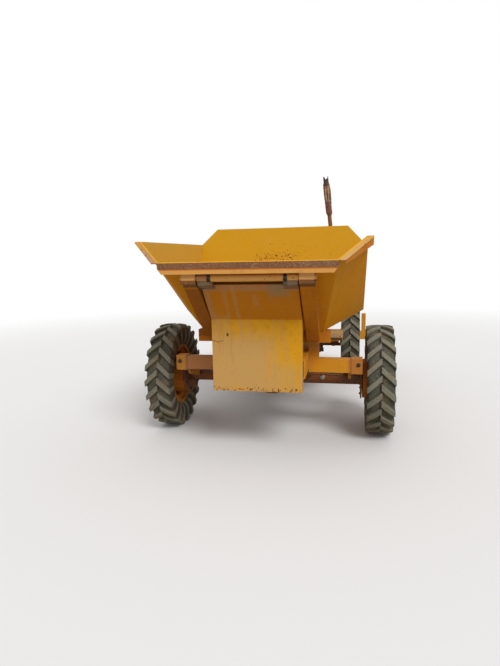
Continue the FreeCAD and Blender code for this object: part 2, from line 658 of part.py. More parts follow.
def make_outriggers():
    """Beams from the rails out over the axle's ends, with end blocks, straps and skip rests."""
    y0 = front_axle_y - s.outrigger_setback
    y1 = y0 + s.outrigger_length
    z0 = outrigger_bottom
    z1 = z0 + s.outrigger_depth
    beam = box("outrigger_beam", (rail_outer, outrigger_reach), (y0, y1), (z0, z1))
    block = box("outrigger_block", (outrigger_reach, outrigger_reach + s.end_block_length),
                (y0 - s.end_block_proud, y1 + s.end_block_proud),
                (z0 - s.end_block_proud, z1 + s.end_block_proud))
    leg_top = floor_height - s.rib_depth - s.working_gap
    leg = box("skip_rest_leg", (rail_outer, rail_outer + s.rest_leg_width),
              (y0, y1 - s.end_block_proud), (z1, leg_top))
    strap_x = outrigger_reach - s.axle_strap_gauge
    tube = s.axle_tube_radius
    strap = plate("axle_strap", "YZ",
                  [(y0, z0), (y1, z0 + s.outrigger_depth / 2), (front_axle_y - tube, z0),
                   (front_axle_y, axle_z + tube * 0.96), (front_axle_y - tube * 0.96, axle_z),
                   (y0 + tube, z0 - tube)], strap_x, outrigger_reach)
    seat = rod("axle_strap_seat", tube + s.working_gap, (strap_x - 1, front_axle_y, axle_z),
               s.axle_strap_gauge + 2, "X")
    left = joined("outrigger_left", [beam, block, leg, without("axle_strap_cut", strap, seat)])
    return grouped("front_outriggers", [left, mirrored("outrigger_right", left)])


def make_drive_axle():
    """Front axle: tube, differential housing with pinion nose, pads under the rails, backplates."""
    drum_inner = s.track_front / 2 - s.rim_half_width - s.drum_width - s.end_block_proud
    tube = rod("axle_tube", s.axle_tube_radius, (-drum_inner, front_axle_y, axle_z),
               drum_inner * 2, "X")
    r = s.diff_radius
    half = s.diff_length / 2
    diff = turned("differential", [(-half * 1.9, 0), (-half * 1.9, s.axle_tube_radius * 1.15),
                                   (-half, r * 0.86), (-half * 0.45, r), (half * 0.45, r),
                                   (half, r * 0.86), (half * 1.9, s.axle_tube_radius * 1.15),
                                   (half * 1.9, 0)], 0, front_axle_y, axle_z)
    nose = rod("pinion_nose", s.axle_tube_radius * 1.3, (0, front_axle_y, axle_z),
               s.pinion_length, "Y")
    pad = box("axle_pad", (s.rail_inner, rail_outer),
              (front_axle_y - s.axle_pad_length / 2, front_axle_y + s.axle_pad_length / 2),
              (axle_z + s.axle_tube_radius * 0.6, rail_bottom))
    back = rod("backplate", s.backplate_radius,
               (drum_inner - s.backplate_gauge, front_axle_y, axle_z), s.backplate_gauge, "X")
    spindle = rod("front_spindle", s.spindle_radius, (drum_inner, front_axle_y, axle_z),
                  s.track_front / 2 + s.disc_offset - s.rim_gauge - drum_inner, "X")
    return joined("drive_axle", [tube, diff, nose, pad, mirrored("axle_pad_right", pad), back,
                                 mirrored("backplate_right", back), spindle,
                                 mirrored("front_spindle_right", spindle)])


def make_transmission():
    """Gearbox behind the differential and the shaft that comes to it from the engine."""
    half = s.rail_inner - s.gearbox_side_gap
    z0 = gearbox_bottom
    z1 = z0 + s.gearbox_height
    taper = half / 3
    case = plate("gearbox_case", "XZ",
                 [(-half, z0 + taper), (-half + taper, z0), (half - taper, z0),
                  (half, z0 + taper), (half, z1 - taper), (half - taper, z1),
                  (-half + taper, z1), (-half, z1 - taper)], gearbox_y, gearbox_end)
    shaft = rod("prop_shaft_bar", s.prop_shaft_radius, (0, gearbox_end, shaft_z),
                clutch_y - gearbox_end, "Y")
    flange = rod("prop_flange", s.prop_shaft_radius * 2, (0, gearbox_end, shaft_z),
                 s.prop_shaft_radius, "Y")
    return joined("gearbox", [case, shaft, flange])


def make_engine():
    """The engine as one plain block at its real place and size, on the rails' crossmembers."""
    half = s.rail_inner - s.engine_side_gap
    top = cross_top + s.engine_height
    step = half / 3
    block = plate("engine_casting", "XZ",
                  [(-half, cross_top), (half, cross_top), (half, top - step), (half - step, top),
                   (-half + step, top), (-half, top - step)], engine_y, engine_y + s.engine_length)
    r = s.clutch_radius
    low = shaft_z
    bell = plate("clutch_housing", "XZ",
                 [(-r * 0.5, low - r * 0.5), (r * 0.5, low - r * 0.5), (r, low), (r, top - r),
                  (r * 0.5, top - r * 0.5), (-r * 0.5, top - r * 0.5), (-r, top - r), (-r, low)],
                 clutch_y, engine_y)
    return joined("engine_block", [block, bell])


# Steered rear axle.

def make_rear_axle():
    """Beam that rocks on a pin under the frame, with an upright eye at each end."""
    half = kingpin_half
    beam = box("axle_beam", (-half, half), (rear_axle_y - s.beam_length / 2,
                                            rear_axle_y + s.beam_length / 2),
               (axle_z - s.beam_height / 2, axle_z + s.beam_height / 2))
    eye_low = axle_z - s.beam_height / 2
    eye = rod("axle_eye", s.eye_radius, (half, rear_axle_y, eye_low), s.beam_height, "Z")
    bore = rod("kingpin_bore", s.kingpin_radius + s.kingpin_fit, (half, rear_axle_y, eye_low - 1),
               s.beam_height + 2, "Z")
    pin_bore = rod("axle_pin_bore", s.axle_pin_radius, (0, rear_axle_y - s.beam_length, axle_z),
                   s.beam_length * 2, "Y")
    solid = joined("rear_axle_solid", [beam, eye, mirrored("axle_eye_right", eye)])
    holes = grouped("rear_axle_holes", [bore, mirrored("kingpin_bore_right", bore), pin_bore])
    return without("rear_axle", solid, holes)


def make_knuckle(side):
    """Steering knuckle: fork over the axle's eye, kingpin, spindle and steering arms."""
    tag = "left" if side > 0 else "right"
    half = kingpin_half
    low = axle_z - s.beam_height / 2 - s.knuckle_gap
    high = axle_z + s.beam_height / 2 + s.knuckle_gap
    ear = s.eye_radius
    web_x = half + s.beam_length / 2 + s.knuckle_gap * 6
    pieces = []
    for name, z0 in (("lower", low - s.knuckle_gauge), ("upper", high)):
        pieces.append(rod("knuckle_%s_ear_%s" % (name, tag), ear, (half, rear_axle_y, z0),
                          s.knuckle_gauge, "Z"))
        pieces.append(box("knuckle_%s_web_%s" % (name, tag), (half, web_x + s.knuckle_gauge),
                          (rear_axle_y - ear, rear_axle_y + ear), (z0, z0 + s.knuckle_gauge)))
    pieces.append(box("knuckle_back_" + tag, (web_x, web_x + s.knuckle_gauge),
                      (rear_axle_y - ear, rear_axle_y + ear),
                      (low - s.knuckle_gauge, high + s.knuckle_gauge)))
    pieces.append(rod("kingpin_" + tag, s.kingpin_radius,
                      (half, rear_axle_y, low - s.knuckle_gauge),
                      high - low + s.knuckle_gauge * 2, "Z"))
    spindle_end = s.track_rear / 2 + s.disc_offset - s.rim_gauge
    pieces.append(rod("spindle_" + tag, s.spindle_radius, (web_x, rear_axle_y, axle_z),
                      spindle_end - web_x, "X"))
    arm_low = low - s.knuckle_gauge
    width = s.arm_width / 2
    tip_x = half - s.track_arm_inset
    tip_y = rear_axle_y + s.track_arm_length
    pieces.append(plate("track_arm_" + tag, "XY",
                        [(half - width, rear_axle_y), (half + width, rear_axle_y),
                         (tip_x + width, tip_y + width), (tip_x - width, tip_y + width)],
                        arm_low, arm_low + s.arm_gauge))
    if side > 0:
        arm_z = high + s.knuckle_gauge - s.arm_gauge
        tip_x = half - s.drag_arm_length
        pieces.append(plate("drag_arm_left", "XY",
                            [(half, rear_axle_y - width), (half, rear_axle_y + width),
                             (tip_x - width, rear_axle_y + width),
                             (tip_x - width, rear_axle_y - width)],
                            arm_z, arm_z + s.arm_gauge))
    solid = joined("knuckle_%s_solid" % tag, pieces)
    if side > 0:
        solid.Label = "knuckle_left"
        return solid
    return mirrored("knuckle_right", solid)


track_rod_z = axle_z - s.beam_height / 2 - s.knuckle_gap - s.knuckle_gauge


def make_track_rod():
    """Rod across the rear that ties the two knuckles, a ball housing under each arm."""
    reach = kingpin_half - s.track_arm_inset
    y = rear_axle_y + s.track_arm_length
    top = track_rod_z - s.working_gap
    housing = rod("track_ball", s.ball_radius, (reach, y, top - s.ball_radius * 1.5),
                  s.ball_radius * 1.5, "Z")
    bar = rod("track_bar", s.track_rod_radius, (-reach, y, top - s.ball_radius * 0.75),
              reach * 2, "X")
    return joined("track_rod", [bar, housing, mirrored("track_ball_right", housing)])


def straight_rod(name, start, end, radius):
    """A round bar between two points."""
    start, end = Vector(*[mm(c) for c in start]), Vector(*[mm(c) for c in end])
    travel = end - start
    return freeform(name, Part.makeCylinder(mm(radius), travel.Length, start, travel))


def make_drag_link():
    """Link from the drop arm at the front to the left knuckle's upper arm."""
    start = (drag_front[0], drag_front[1], drag_z)
    end = (drag_rear[0], drag_rear[1], drag_z)
    bar = straight_rod("drag_bar", start, end, s.track_rod_radius * 0.8)
    rear_ball = rod("drag_rear_ball", s.ball_radius, (end[0], end[1], drag_z - s.ball_radius),
                    s.ball_radius * 1.8, "Z")
    front_ball = rod("drag_front_ball", s.ball_radius * 0.8,
                     (start[0] - s.ball_radius * 0.6, start[1], start[2]),
                     s.ball_radius * 1.2, "X")
    return joined("drag_link", [bar, rear_ball, front_ball])


def make_drop_arm():
    """Arm on the steering box's shaft, outside the left rail."""
    y = drag_front[1]
    width = s.arm_width / 2
    blank = plate("drop_arm_blank", "YZ",
                  [(y - width, drop_pivot_z + width), (y - width * 0.7, drag_z - width),
                   (y + width * 0.7, drag_z - width), (y + width, drop_pivot_z + width)],
                  drop_arm_x, drop_arm_x + s.arm_gauge)
    bore = rod("drop_arm_bore", s.steering_pin_radius + s.kingpin_fit,
               (drop_arm_x - 1, y, drop_pivot_z), s.arm_gauge + 2, "X")
    return without("drop_arm", blank, bore)


# Wheels.

def tyre_profile():
    """Half of the tyre's section without lugs, as (distance from the middle, radius)."""
    half, top = mm(s.tyre_width) / 2, mm(s.tyre_radius - s.lug_height)
    bead, seat = mm(s.bead_half_width), mm(s.bead_radius)
    rise = top - seat
    # share of the half width, share of the rise from the bead to the crown
    wall = [(0.9, 0.277), (1.0, 0.581), (0.96, 0.815), (0.8, 0.96)]
    return ([(bead, seat), (bead + 0.3, seat + rise * 0.112)]
            + [(half * out, seat + rise * up) for out, up in wall] + [(0, top)])


def ring_point(x, angle, radius):
    """A point of the tyre at a distance from the middle, an angle and a radius."""
    return Vector(x, radius * math.cos(angle), radius * math.sin(angle))


def tyre_carcass(sides):
    """The tyre's body as a ring with flat facets between meridians."""
    half = tyre_profile()
    section = half + [(-x, r) for x, r in reversed(half[:-1])]
    faces = []
    for k in range(sides):
        a0, a1 = (2 * math.pi * (k + i) / sides for i in (0, 1))
        for i, (x0, r0) in enumerate(section):
            x1, r1 = section[(i + 1) % len(section)]
            corners = [ring_point(x0, a0, r0), ring_point(x0, a1, r0),
                       ring_point(x1, a1, r1), ring_point(x1, a0, r1)]
            faces.append(Part.Face(Part.makePolygon(corners + corners[:1])))
    return Part.Solid(Part.Shell(faces))


def tread_lug(angle, side):
    """One slanted bar of the tread; the angle is that of its first upper corner."""
    half, root = mm(s.tyre_width) / 2, mm(s.tyre_radius - s.lug_height)
    top, sweep = mm(s.tyre_radius), math.radians(mm(s.lug_sweep_degrees))
    foot, head = mm(s.lug_width) / root / 2, mm(s.lug_width) * 0.72 / top / 2
    # stations along the bar: share of the sweep, distance from the middle, foot radius, top radius
    stations = [(-0.06, -0.06 * half, root - 8, top), (0.5, 0.52 * half, root - 12, top - 1),
                (1.0, 0.99 * half, root - 60, top - 9)]
    start = angle + head - sweep * stations[0][0]
    rings = []
    for share, x, low, high in stations:
        a = start + sweep * share
        rings.append([ring_point(side * x, a - foot, low), ring_point(side * x, a + foot, low),
                      ring_point(side * x, a + head, high), ring_point(side * x, a - head, high)])
    faces = [Part.Face(Part.makePolygon([ring[i] for i in tri] + [ring[tri[0]]]))
             for ring in (rings[0], rings[-1]) for tri in ((0, 1, 2), (0, 2, 3))]
    for ring, following in zip(rings, rings[1:]):
        for i in range(4):
            j = (i + 1) % 4
            for tri in ((ring[i], ring[j], following[j]), (ring[i], following[j], following[i])):
                faces.append(Part.Face(Part.makePolygon(list(tri) + [tri[0]])))
    solid = Part.Solid(Part.Shell(faces))
    if solid.Volume < 0:
        solid.reverse()
    return solid


def tyre_shape():
    """A tyre centred on the origin, its axle along X, with two staggered rows of lugs."""
    count = int(mm(s.lug_count))
    carcass = tyre_carcass(2 * count)
    pitch = 2 * math.pi / count
    lugs = []
    for k in range(count):
        lugs.append(tread_lug(k * pitch, 1))
        lugs.append(tread_lug((k + 0.5) * pitch, -1))
    return carcass.fuse(lugs)


def make_wheel(tag, side, track, y, tyre, driven):
    """A tyre and its rim; a driven wheel carries its brake drum inside the rim."""
    x = track / 2 * side
    rubber = freeform("tyre_" + tag, tyre)
    place(rubber, x, y, axle_z)
    w, t = s.rim_half_width, s.rim_gauge
    seat = s.bead_radius - 1 - s.working_gap
    flange = s.rim_flange_radius
    inner_well = s.rim_well_radius - t
    disc, hub = s.disc_offset, s.hub_radius
    bore = s.spindle_radius + s.kingpin_fit
    if driven:
        back = -w - s.drum_width
        inner_end = [(back, bore), (back, s.drum_radius), (w * -0.3, s.drum_radius),
                     (w * -0.3, hub * 1.4)]
    else:
        inner_end = [(disc * -1.2, bore), (disc * -1.2, hub * 0.9), (disc * -0.6, hub * 1.4)]
    barrel_inner = [(disc - t, hub * 1.4), (disc - t, inner_well), (w * -0.42, inner_well),
                    (w * -0.62, seat - t), (-w, seat - t), (-w, flange), (t - w, flange),
                    (t - w, seat), (w * -0.55, seat), (w * -0.35, s.rim_well_radius)]
    barrel_outer = [(w * 0.35, s.rim_well_radius), (w * 0.55, seat), (w - t, seat),
                    (w - t, flange), (w, flange), (w, seat - t), (w * 0.62, seat - t),
                    (w * 0.42, inner_well), (disc, inner_well)]
    hub_end = [(disc, hub), (disc + 26, hub * 0.8), (disc + 26, 0), (disc, 0), (disc, bore)]
    outline = [(u * side, r) for u, r in inner_end + barrel_inner + barrel_outer + hub_end]
    rim = turned("rim_" + tag, outline, x, y, axle_z)
    return [rubber, rim]


# Tipping ram: telescopic, hinged on the stand's pin, its eye under the skip's floor.

ram_base = Vector(0, mm(front_face + s.ram_base_setback), mm(ram_base_height))
ram_eye = Vector(0, mm(floor_rear_y - s.ram_eye_inset), mm(floor_height - s.ram_eye_drop))
ram_line = (ram_eye - ram_base).normalize()


def on_ram(distance):
    """Point of the ram's axis at a distance from its base pin."""
    return ram_base + ram_line * distance


def ram_tube(radius, start, end):
    """A round solid along the ram's axis between two distances from the base pin."""
    return Part.makeCylinder(radius, end - start, on_ram(start), ram_line)


def cross_eye(centre, radius, width):
    """A round solid across the machine at a pin."""
    return Part.makeCylinder(radius, width, centre - Vector(width / 2, 0, 0), Vector(1, 0, 0))


def make_ram():
    """Barrel on the base pin, middle stage and rod with its eye."""
    eye, width = mm(s.ram_eye_radius), mm(s.ram_eye_width)
    hole = cross_eye(ram_base, mm(s.ram_pin_radius + s.pivot_fit), 2 * width)
    barrel, sleeve, bar = mm(s.ram_barrel_radius), mm(s.ram_sleeve_radius), mm(s.ram_rod_radius)
    fit = mm(s.pivot_fit)
    length = (ram_eye - ram_base).Length
    barrel_end, sleeve_end = length - mm(s.ram_barrel_margin), length - mm(s.ram_sleeve_margin)
    case = cross_eye(ram_base, eye, width).fuse([ram_tube(barrel, eye * 0.8, barrel_end),
                                                 ram_tube(barrel + mm(s.ram_collar_gauge),
                                                          barrel_end - mm(s.ram_collar_length),
                                                          barrel_end)])
    case = case.cut([hole, ram_tube(sleeve + fit, eye * 1.8, barrel_end + 1)]).removeSplitter()
    stage = ram_tube(sleeve, eye * 2, sleeve_end)
    stage = stage.cut(ram_tube(bar + fit, eye * 2.5, sleeve_end + 1))
    rod_eye = cross_eye(ram_eye, eye, width)
    piston = ram_tube(bar, eye * 2.7, length - eye * 0.7).fuse(rod_eye)
    piston = piston.cut(cross_eye(ram_eye, mm(s.ram_pin_radius + s.pivot_fit), 2 * width))
    return [freeform("ram_barrel", case), freeform("ram_sleeve", stage),
            freeform("ram_rod", piston.removeSplitter())]


# Driver's place.

def make_platform():
    """Floor plate on the rails, foot plates outside them with turned-down edges and brackets."""
    y0 = drag_front[1] + s.platform_arm_gap
    y1 = rear_axle_y - s.platform_rear_lead
    floor = box("floor_plate", (-rail_outer, rail_outer),
                (console_y - s.crossmember_length, y1),
                (rail_top, rail_top + s.platform_gauge))
    tread = box("foot_plate", (rail_outer, platform_half_width), (y0, y1),
                (platform_under, platform_top))
    skirt = box("foot_skirt", (platform_half_width - s.platform_gauge, platform_half_width),
                (y0, y1), (platform_top - s.platform_skirt, platform_top))
    pieces = [tread, skirt]
    for name, y in (("bracket_front", y0 + s.platform_bracket),
                    ("bracket_rear", y1 - s.platform_bracket * 2)):
        pieces.append(plate(name, "XZ",
                            [(rail_outer, rail_bottom), (rail_outer, platform_under),
                             (platform_half_width - s.platform_gauge, platform_under),
                             (platform_half_width - s.platform_gauge,
                              platform_top - s.platform_skirt)],
                            y, y + s.platform_bracket * 0.4))
    left = joined("foot_plate_left", pieces)
    return grouped("driver_platform", [floor, left, mirrored("foot_plate_right", left)])


column_base = Vector(0, mm(console_y + s.column_setback), mm(rail_top))
column_line = Vector(0, mm(s.column_rake), mm(s.column_rise)).normalize()
column_length = math.hypot(mm(s.column_rake), mm(s.column_rise))


def on_column(distance):
    """Point of the steering column's axis at a distance from its foot."""
    return column_base + column_line * distance


def make_column():
    """Dash console on the floor plate with the raked column and its shaft end."""
    slant = s.console_length / 5
    console = plate("console", "YZ",
                    [(console_y, console_bottom), (console_y, console_top),
                     (console_y + slant, console_top + slant * 0.8),
                     (console_back, console_top - slant), (console_back, console_bottom)],
                    -s.console_half_width, s.console_half_width)
    hub = mm(s.wheel_hub_radius)
    tube = freeform("column_tube", Part.makeCylinder(
        mm(s.column_radius), column_length - hub * 4, on_column(hub * 3), column_line))
    shaft = freeform("column_shaft", Part.makeCylinder(
        mm(s.column_shaft), hub * 2, on_column(column_length - hub * 5 / 3), column_line))
    return joined("steering_column", [console, tube, shaft])


def make_steering_wheel():
    """Rim, three spokes and a hub bored for the column's shaft."""
    rim, thick = mm(s.wheel_rim_radius), mm(s.wheel_rim_thickness)
    wheel = Part.makeTorus(rim, thick)
    spokes = []
    for k in range(3):
        turn = math.radians(90 + 120 * k)
        outward = Vector(math.cos(turn), math.sin(turn), 0)
        spokes.append(Part.makeCylinder(thick * 0.55, rim, Vector(0, 0, 0), outward))
    hub = mm(s.wheel_hub_radius)
    wheel = wheel.fuse(spokes + [Part.makeCylinder(hub, hub, Vector(0, 0, -hub / 2))])
    wheel = wheel.cut(Part.makeCylinder(mm(s.column_shaft + s.kingpin_fit), hub,
                                        Vector(0, 0, -hub * 2 / 3)))
    item = freeform("steering_wheel", wheel)
    item.Placement = FreeCAD.Placement(on_column(column_length),
                                       FreeCAD.Rotation(Vector(0, 0, 1), column_line))
    return item


def make_levers():
    """The tipping lever on the console's side, the gear lever and the hand brake on the floor."""
    side, bar, knob = mm(s.console_half_width), mm(s.lever_radius), mm(s.knob_radius)
    back, floor = mm(console_back), mm(console_bottom)
    tip_foot = Vector(-side, mm(console_y + s.tip_lever_setback), mm(console_top - s.tip_lever_drop))
    gear_foot = Vector(-mm(s.gear_lever_offset), back + mm(s.gear_lever_setback), floor)
    brake_foot = Vector(mm(s.brake_lever_offset), back + mm(s.brake_lever_setback), floor)
    # name, foot, foot's axis, travel from foot to knob
    levers = [("tip_lever", tip_foot, Vector(-1, 0, 0),
               Vector(-mm(s.tip_lever_splay), mm(s.tip_lever_rake), mm(s.tip_lever_rise))),
              ("gear_lever", gear_foot, Vector(0, 0, 1),
               Vector(-bar * 3, mm(s.gear_lever_rake), mm(s.gear_lever_rise))),
              ("brake_lever", brake_foot, Vector(0, 0, 1),
               Vector(bar * 5, mm(s.brake_lever_rake), mm(s.brake_lever_rise)))]
    pieces = []
    for name, foot, lean, travel in levers:
        socket = Part.makeCylinder(knob * 1.2, mm(s.lever_socket), foot, lean)
        start = foot + lean * mm(s.lever_socket) / 2
        reach = foot + travel - start
        stem = Part.makeCylinder(bar, reach.Length, start, reach)
        pieces.append(freeform(name, socket.fuse([stem, Part.makeSphere(knob, foot + travel)])))
    return pieces


def make_pedals():
    """Two pedals outside the console, on arms from its sides, and one on its rear face."""
    side, back, bar = mm(s.console_half_width), mm(console_back), mm(s.lever_radius)
    width, tall, gauge = mm(s.pedal_width), mm(s.pedal_height), mm(s.pedal_gauge)
    reach, rise = mm(s.pedal_reach), mm(console_bottom + s.pedal_rise)
    # name, X of the pad's middle
    pedals = [("pedal_left", side + mm(s.pedal_offset)), ("pedal_right", -side - mm(s.pedal_offset)),
              ("pedal_middle", mm(s.pedal_offset) - side)]
    pieces = []
    for name, x in pedals:
        pad = Part.makeBox(width, gauge, tall, Vector(x - width / 2, back + reach, rise - tall / 2))
        pad = pad.common(Part.makeCylinder(tall * 0.56, gauge * 3, Vector(x, back + reach - gauge, rise),
                                           Vector(0, 1, 0)))
        start = Vector(x, back, rise)
        cross = []
        if abs(x) > side:
            start = Vector(x, back - reach, rise)
            inner = math.copysign(side, x)
            cross = [Part.makeCylinder(bar, abs(x - inner), Vector(inner, start.y, rise),
                                       Vector(math.copysign(1, x), 0, 0)),
                     Part.makeSphere(bar, start)]
        arm = Part.makeCylinder(bar, back + reach + gauge / 2 - start.y, start, Vector(0, 1, 0))
        pieces.append(freeform(name, pad.fuse([arm] + cross)))
    return pieces


def make_controls():
    """Levers and pedals as one group."""
    return grouped("controls", make_levers() + make_pedals())


def make_seat():
    """Seat box on the rails, cushion on top and an upright back."""
    y0, y1 = seat_front_y, seat_rear_y
    foot = rail_top + s.platform_gauge
    top = foot + s.seat_base_height
    base = plate("seat_base", "YZ",
                 [(y0 + s.seat_base_height * 0.15, foot), (y0, top), (y1, top), (y1, foot)],
                 -s.seat_base_half, s.seat_base_half)
    rest = top + s.working_gap
    high = rest + s.cushion_height
    c1 = y1 - s.cushion_inset - s.back_gauge
    slope = s.cushion_height * 0.18
    cushion = plate("seat_cushion", "YZ",
                    [(y0, rest), (y0 - slope / 2, high - slope * 1.8), (y0 + slope * 1.8, high),
                     (c1 - slope, high - slope), (c1, high - slope), (c1, rest)],
                    -s.seat_base_half + s.cushion_inset, s.seat_base_half - s.cushion_inset)
    b0 = c1 + s.working_gap
    b1 = b0 + s.back_gauge
    back_top = rest + s.back_height
    back = plate("seat_back", "YZ",
                 [(b0, rest), (b0 + slope, back_top - slope * 2), (b0 + slope * 2.4, back_top),
                  (b1 - slope, back_top), (b1, back_top - slope * 2), (b1, rest)],
                 -s.seat_base_half + s.cushion_inset, s.seat_base_half - s.cushion_inset)
    return [base, cushion, back]


def make_tank():
    """Fuel tank under the right foot plate, with a filler neck on its outer side."""
    y0 = rear_axle_y - s.tank_lead
    inner = rail_outer + s.working_gap
    outer = inner + s.tank_width
    top = platform_under - s.working_gap
    low = top - s.tank_height
    r = s.tank_width / 5
    body = plate("tank_body", "XZ",
                 [(-inner, top), (-inner, low + r), (-inner - r, low), (r - outer, low),
                  (-outer, low + r), (-outer, top - r / 2), (r / 2 - outer, top)],
                 y0, y0 + s.tank_length)
    neck = rod("tank_neck", r * 0.7, (-outer - r * 0.6, y0 + r * 2, top - r * 1.4), r, "X")
    cap = rod("tank_cap", r * 0.95, (-outer - r * 1.1, y0 + r * 2, top - r * 1.4), r * 0.6, "X")
    strap = plate("tank_strap", "XZ",
                  [(-inner, low + r), (-inner - r, low), (r - outer, low), (-outer, low + r),
                   (-outer, top - r / 2), (-outer - 3, top - r / 2), (-outer - 3, low + r * 0.9),
                   (r - outer - 1, low - 3), (-inner - r + 1, low - 3), (-inner, low + r * 0.9)],
                  y0 + s.tank_length * 0.75, y0 + s.tank_length * 0.85)
    return joined("fuel_tank", [body, neck, cap, strap])


# Engine cowl, hood, grille and exhaust.

hinge_y = cowl_y - s.hinge_setback


def make_cowl():
    """Four walls on the rails around the engine, louvred sides, an opening at the rear."""
    half, t = cowl_half_width, s.cowl_gauge
    side = box("cowl_side", (half - t, half), (cowl_y, cowl_end), (rail_top, cowl_top))
    foot = box("cowl_foot", (rail_outer - t * 3, half - t), (cowl_y, cowl_end),
               (rail_top, rail_top + t))
    pieces = [side, foot]
    for row in range(3):
        z = cowl_top - s.louvre_drop - s.louvre_pitch * row
        for column in range(2):
            y = cowl_y + s.louvre_setback + (s.louvre_length + s.louvre_gap) * column
            pieces.append(plate("louvre_%d_%d" % (row, column), "XZ",
                                [(half, z), (half, z + s.louvre_height),
                                 (half + s.louvre_proud, z)], y, y + s.louvre_length))
    left = joined("cowl_left", pieces)
    front = box("cowl_front", (-half, half), (cowl_y, cowl_y + t), (rail_top, cowl_top))
    rear = box("cowl_rear", (-half, half), (cowl_end - t, cowl_end), (rail_top, cowl_top))
    opening = box("cowl_opening", (-s.grille_half_width, s.grille_half_width),
                  (cowl_end - t * 2, cowl_end + t), (grille_bottom, grille_top))
    barrel = rod("hinge_fixed", s.hinge_radius, (s.seat_base_half, hinge_y,
                                                 cowl_top - s.hinge_radius),
                 s.hinge_radius * 6, "X")
    ear = box("hinge_ear", (s.seat_base_half, s.seat_base_half + s.hinge_radius * 6),
              (hinge_y, cowl_y), (cowl_top - s.hinge_radius * 2, cowl_top - s.hinge_radius))
    return joined("engine_cowl", [left, mirrored("cowl_right", left), front,
                                  without("cowl_rear_open", rear, opening), barrel, ear,
                                  mirrored("hinge_fixed_right", barrel),
                                  mirrored("hinge_ear_right", ear)])


def make_hood():
    """Lid over the cowl with side skirts, hinged along its front edge."""
    t = s.cowl_gauge
    inner = cowl_half_width + s.hood_side_gap
    outer = inner + t
    rest = cowl_top + s.working_gap
    top = cowl_top + s.hood_rise
    low = cowl_top - s.hood_skirt
    shoulder = s.hood_rise * 0.6
    seat = cowl_half_width - t * 2
    half = [(outer, low), (outer, top - shoulder), (outer - shoulder, top)]
    under = [(inner - shoulder, top - t), (seat, rest), (inner, rest), (inner, low)]
    outline = half + [(-x, z) for x, z in reversed(half)]
    outline += [(-x, z) for x, z in reversed(under)] + under
    y0 = cowl_y - t - s.working_gap
    y1 = cowl_end + t + s.working_gap
    panel = plate("hood_panel", "XZ", outline, y0, y1)
    cap_line = [(seat, rest + 1), (outer - 1, rest + 1), (outer - 1, top - shoulder),
                (outer - shoulder, top - 1)]
    cap_line += [(-x, z) for x, z in reversed(cap_line)]
    front = plate("hood_front_cap", "XZ", cap_line, y0, y0 + t)
    rear = plate("hood_rear_cap", "XZ", cap_line, y1 - t, y1)
    barrel_x = s.seat_base_half - s.hinge_radius * 7
    barrel = rod("hinge_moving", s.hinge_radius, (barrel_x, hinge_y, cowl_top - s.hinge_radius),
                 s.hinge_radius * 6, "X")
    strap = box("hinge_strap", (barrel_x, barrel_x + s.hinge_radius * 6),
                (hinge_y - s.hinge_radius, y0),
                (cowl_top - s.hinge_radius, cowl_top + s.hood_rise * 0.5))
    return joined("hood_lid", [panel, front, rear, barrel, strap,
                               mirrored("hinge_moving_right", barrel),
                               mirrored("hinge_strap_right", strap)])


def make_grille():
    """Frame of bars over the cowl's rear opening."""
    half, edge = s.grille_half_width, s.grille_frame
    depth = s.cowl_gauge * 2
    outer = box("grille_blank", (-half - edge, half + edge), (cowl_end, cowl_end + depth),
                (grille_bottom - edge, grille_top + edge))
    hole = box("grille_hole", (-half, half), (cowl_end - 1, cowl_end + depth + 1),
               (grille_bottom, grille_top))
    pieces = [without("grille_ring", outer, hole)]
    count = int(mm(s.grille_bar_count))
    for k in range(count):
        x = half * (2 * (k + 1) / (count + 1) - 1) - s.grille_bar_width / 2
        pieces.append(box("grille_bar_%d" % k, (x, x + s.grille_bar_width),
                          (cowl_end + 1, cowl_end + depth - 1),
                          (grille_bottom - 1, grille_top + 1)))
    return joined("rear_grille", pieces)


def make_exhaust():
    """Stack from the cowl's left side: flange, bend, upright pipe, leaning silencer and tip."""
    r = mm(s.exhaust_radius)
    wall, bend = mm(cowl_half_width), mm(s.exhaust_offset)
    x, y, z = wall + bend, mm(cowl_y + s.exhaust_setback), mm(cowl_top - s.exhaust_outlet_drop)
    kink = Vector(x, y, z + mm(s.exhaust_riser))
    silencer_foot = kink.z + mm(s.silencer_rise)
    joint = silencer_foot + mm(s.silencer_length)
    silencer_head = joint + mm(s.silencer_sleeve)
    top = silencer_head + mm(s.exhaust_tip)
    lean = Vector(-mm(s.exhaust_lean), 0, top - kink.z)
    slope = lean.Length / lean.z
    flange = Part.makeCylinder(r * 1.6, 5, Vector(wall, y, z), Vector(1, 0, 0))
    elbow = Part.makeTorus(bend, r, Vector(wall, y, z + bend), Vector(0, 1, 0))
    elbow = elbow.common(Part.makeBox(bend * 2, bend * 2, bend + r,
                                      Vector(wall, y - bend, z - r)))
    riser = Part.makeCylinder(r, kink.z - z - bend, Vector(x, y, z + bend))
    pieces = [elbow, riser, Part.makeSphere(r, kink)]
    body = mm(s.silencer_radius)
    clamp = body / 3
    # height from, height to, radius
    for low, high, radius in ((kink.z, top, r), (silencer_foot, joint, body),
                              (joint - clamp, joint + clamp, body * 1.14),
                              (joint, silencer_head, body * 1.05)):
        start = kink + lean * ((low - kink.z) / lean.z)
        pieces.append(Part.makeCylinder(radius, (high - low) * slope, start, lean))
    mouth = kink + lean * 0.9
    hollow = Part.makeCylinder(r - 3, lean.Length * 0.2, mouth, lean)
    return freeform("exhaust_stack", flange.fuse(pieces).cut(hollow).removeSplitter())


# Rear end.

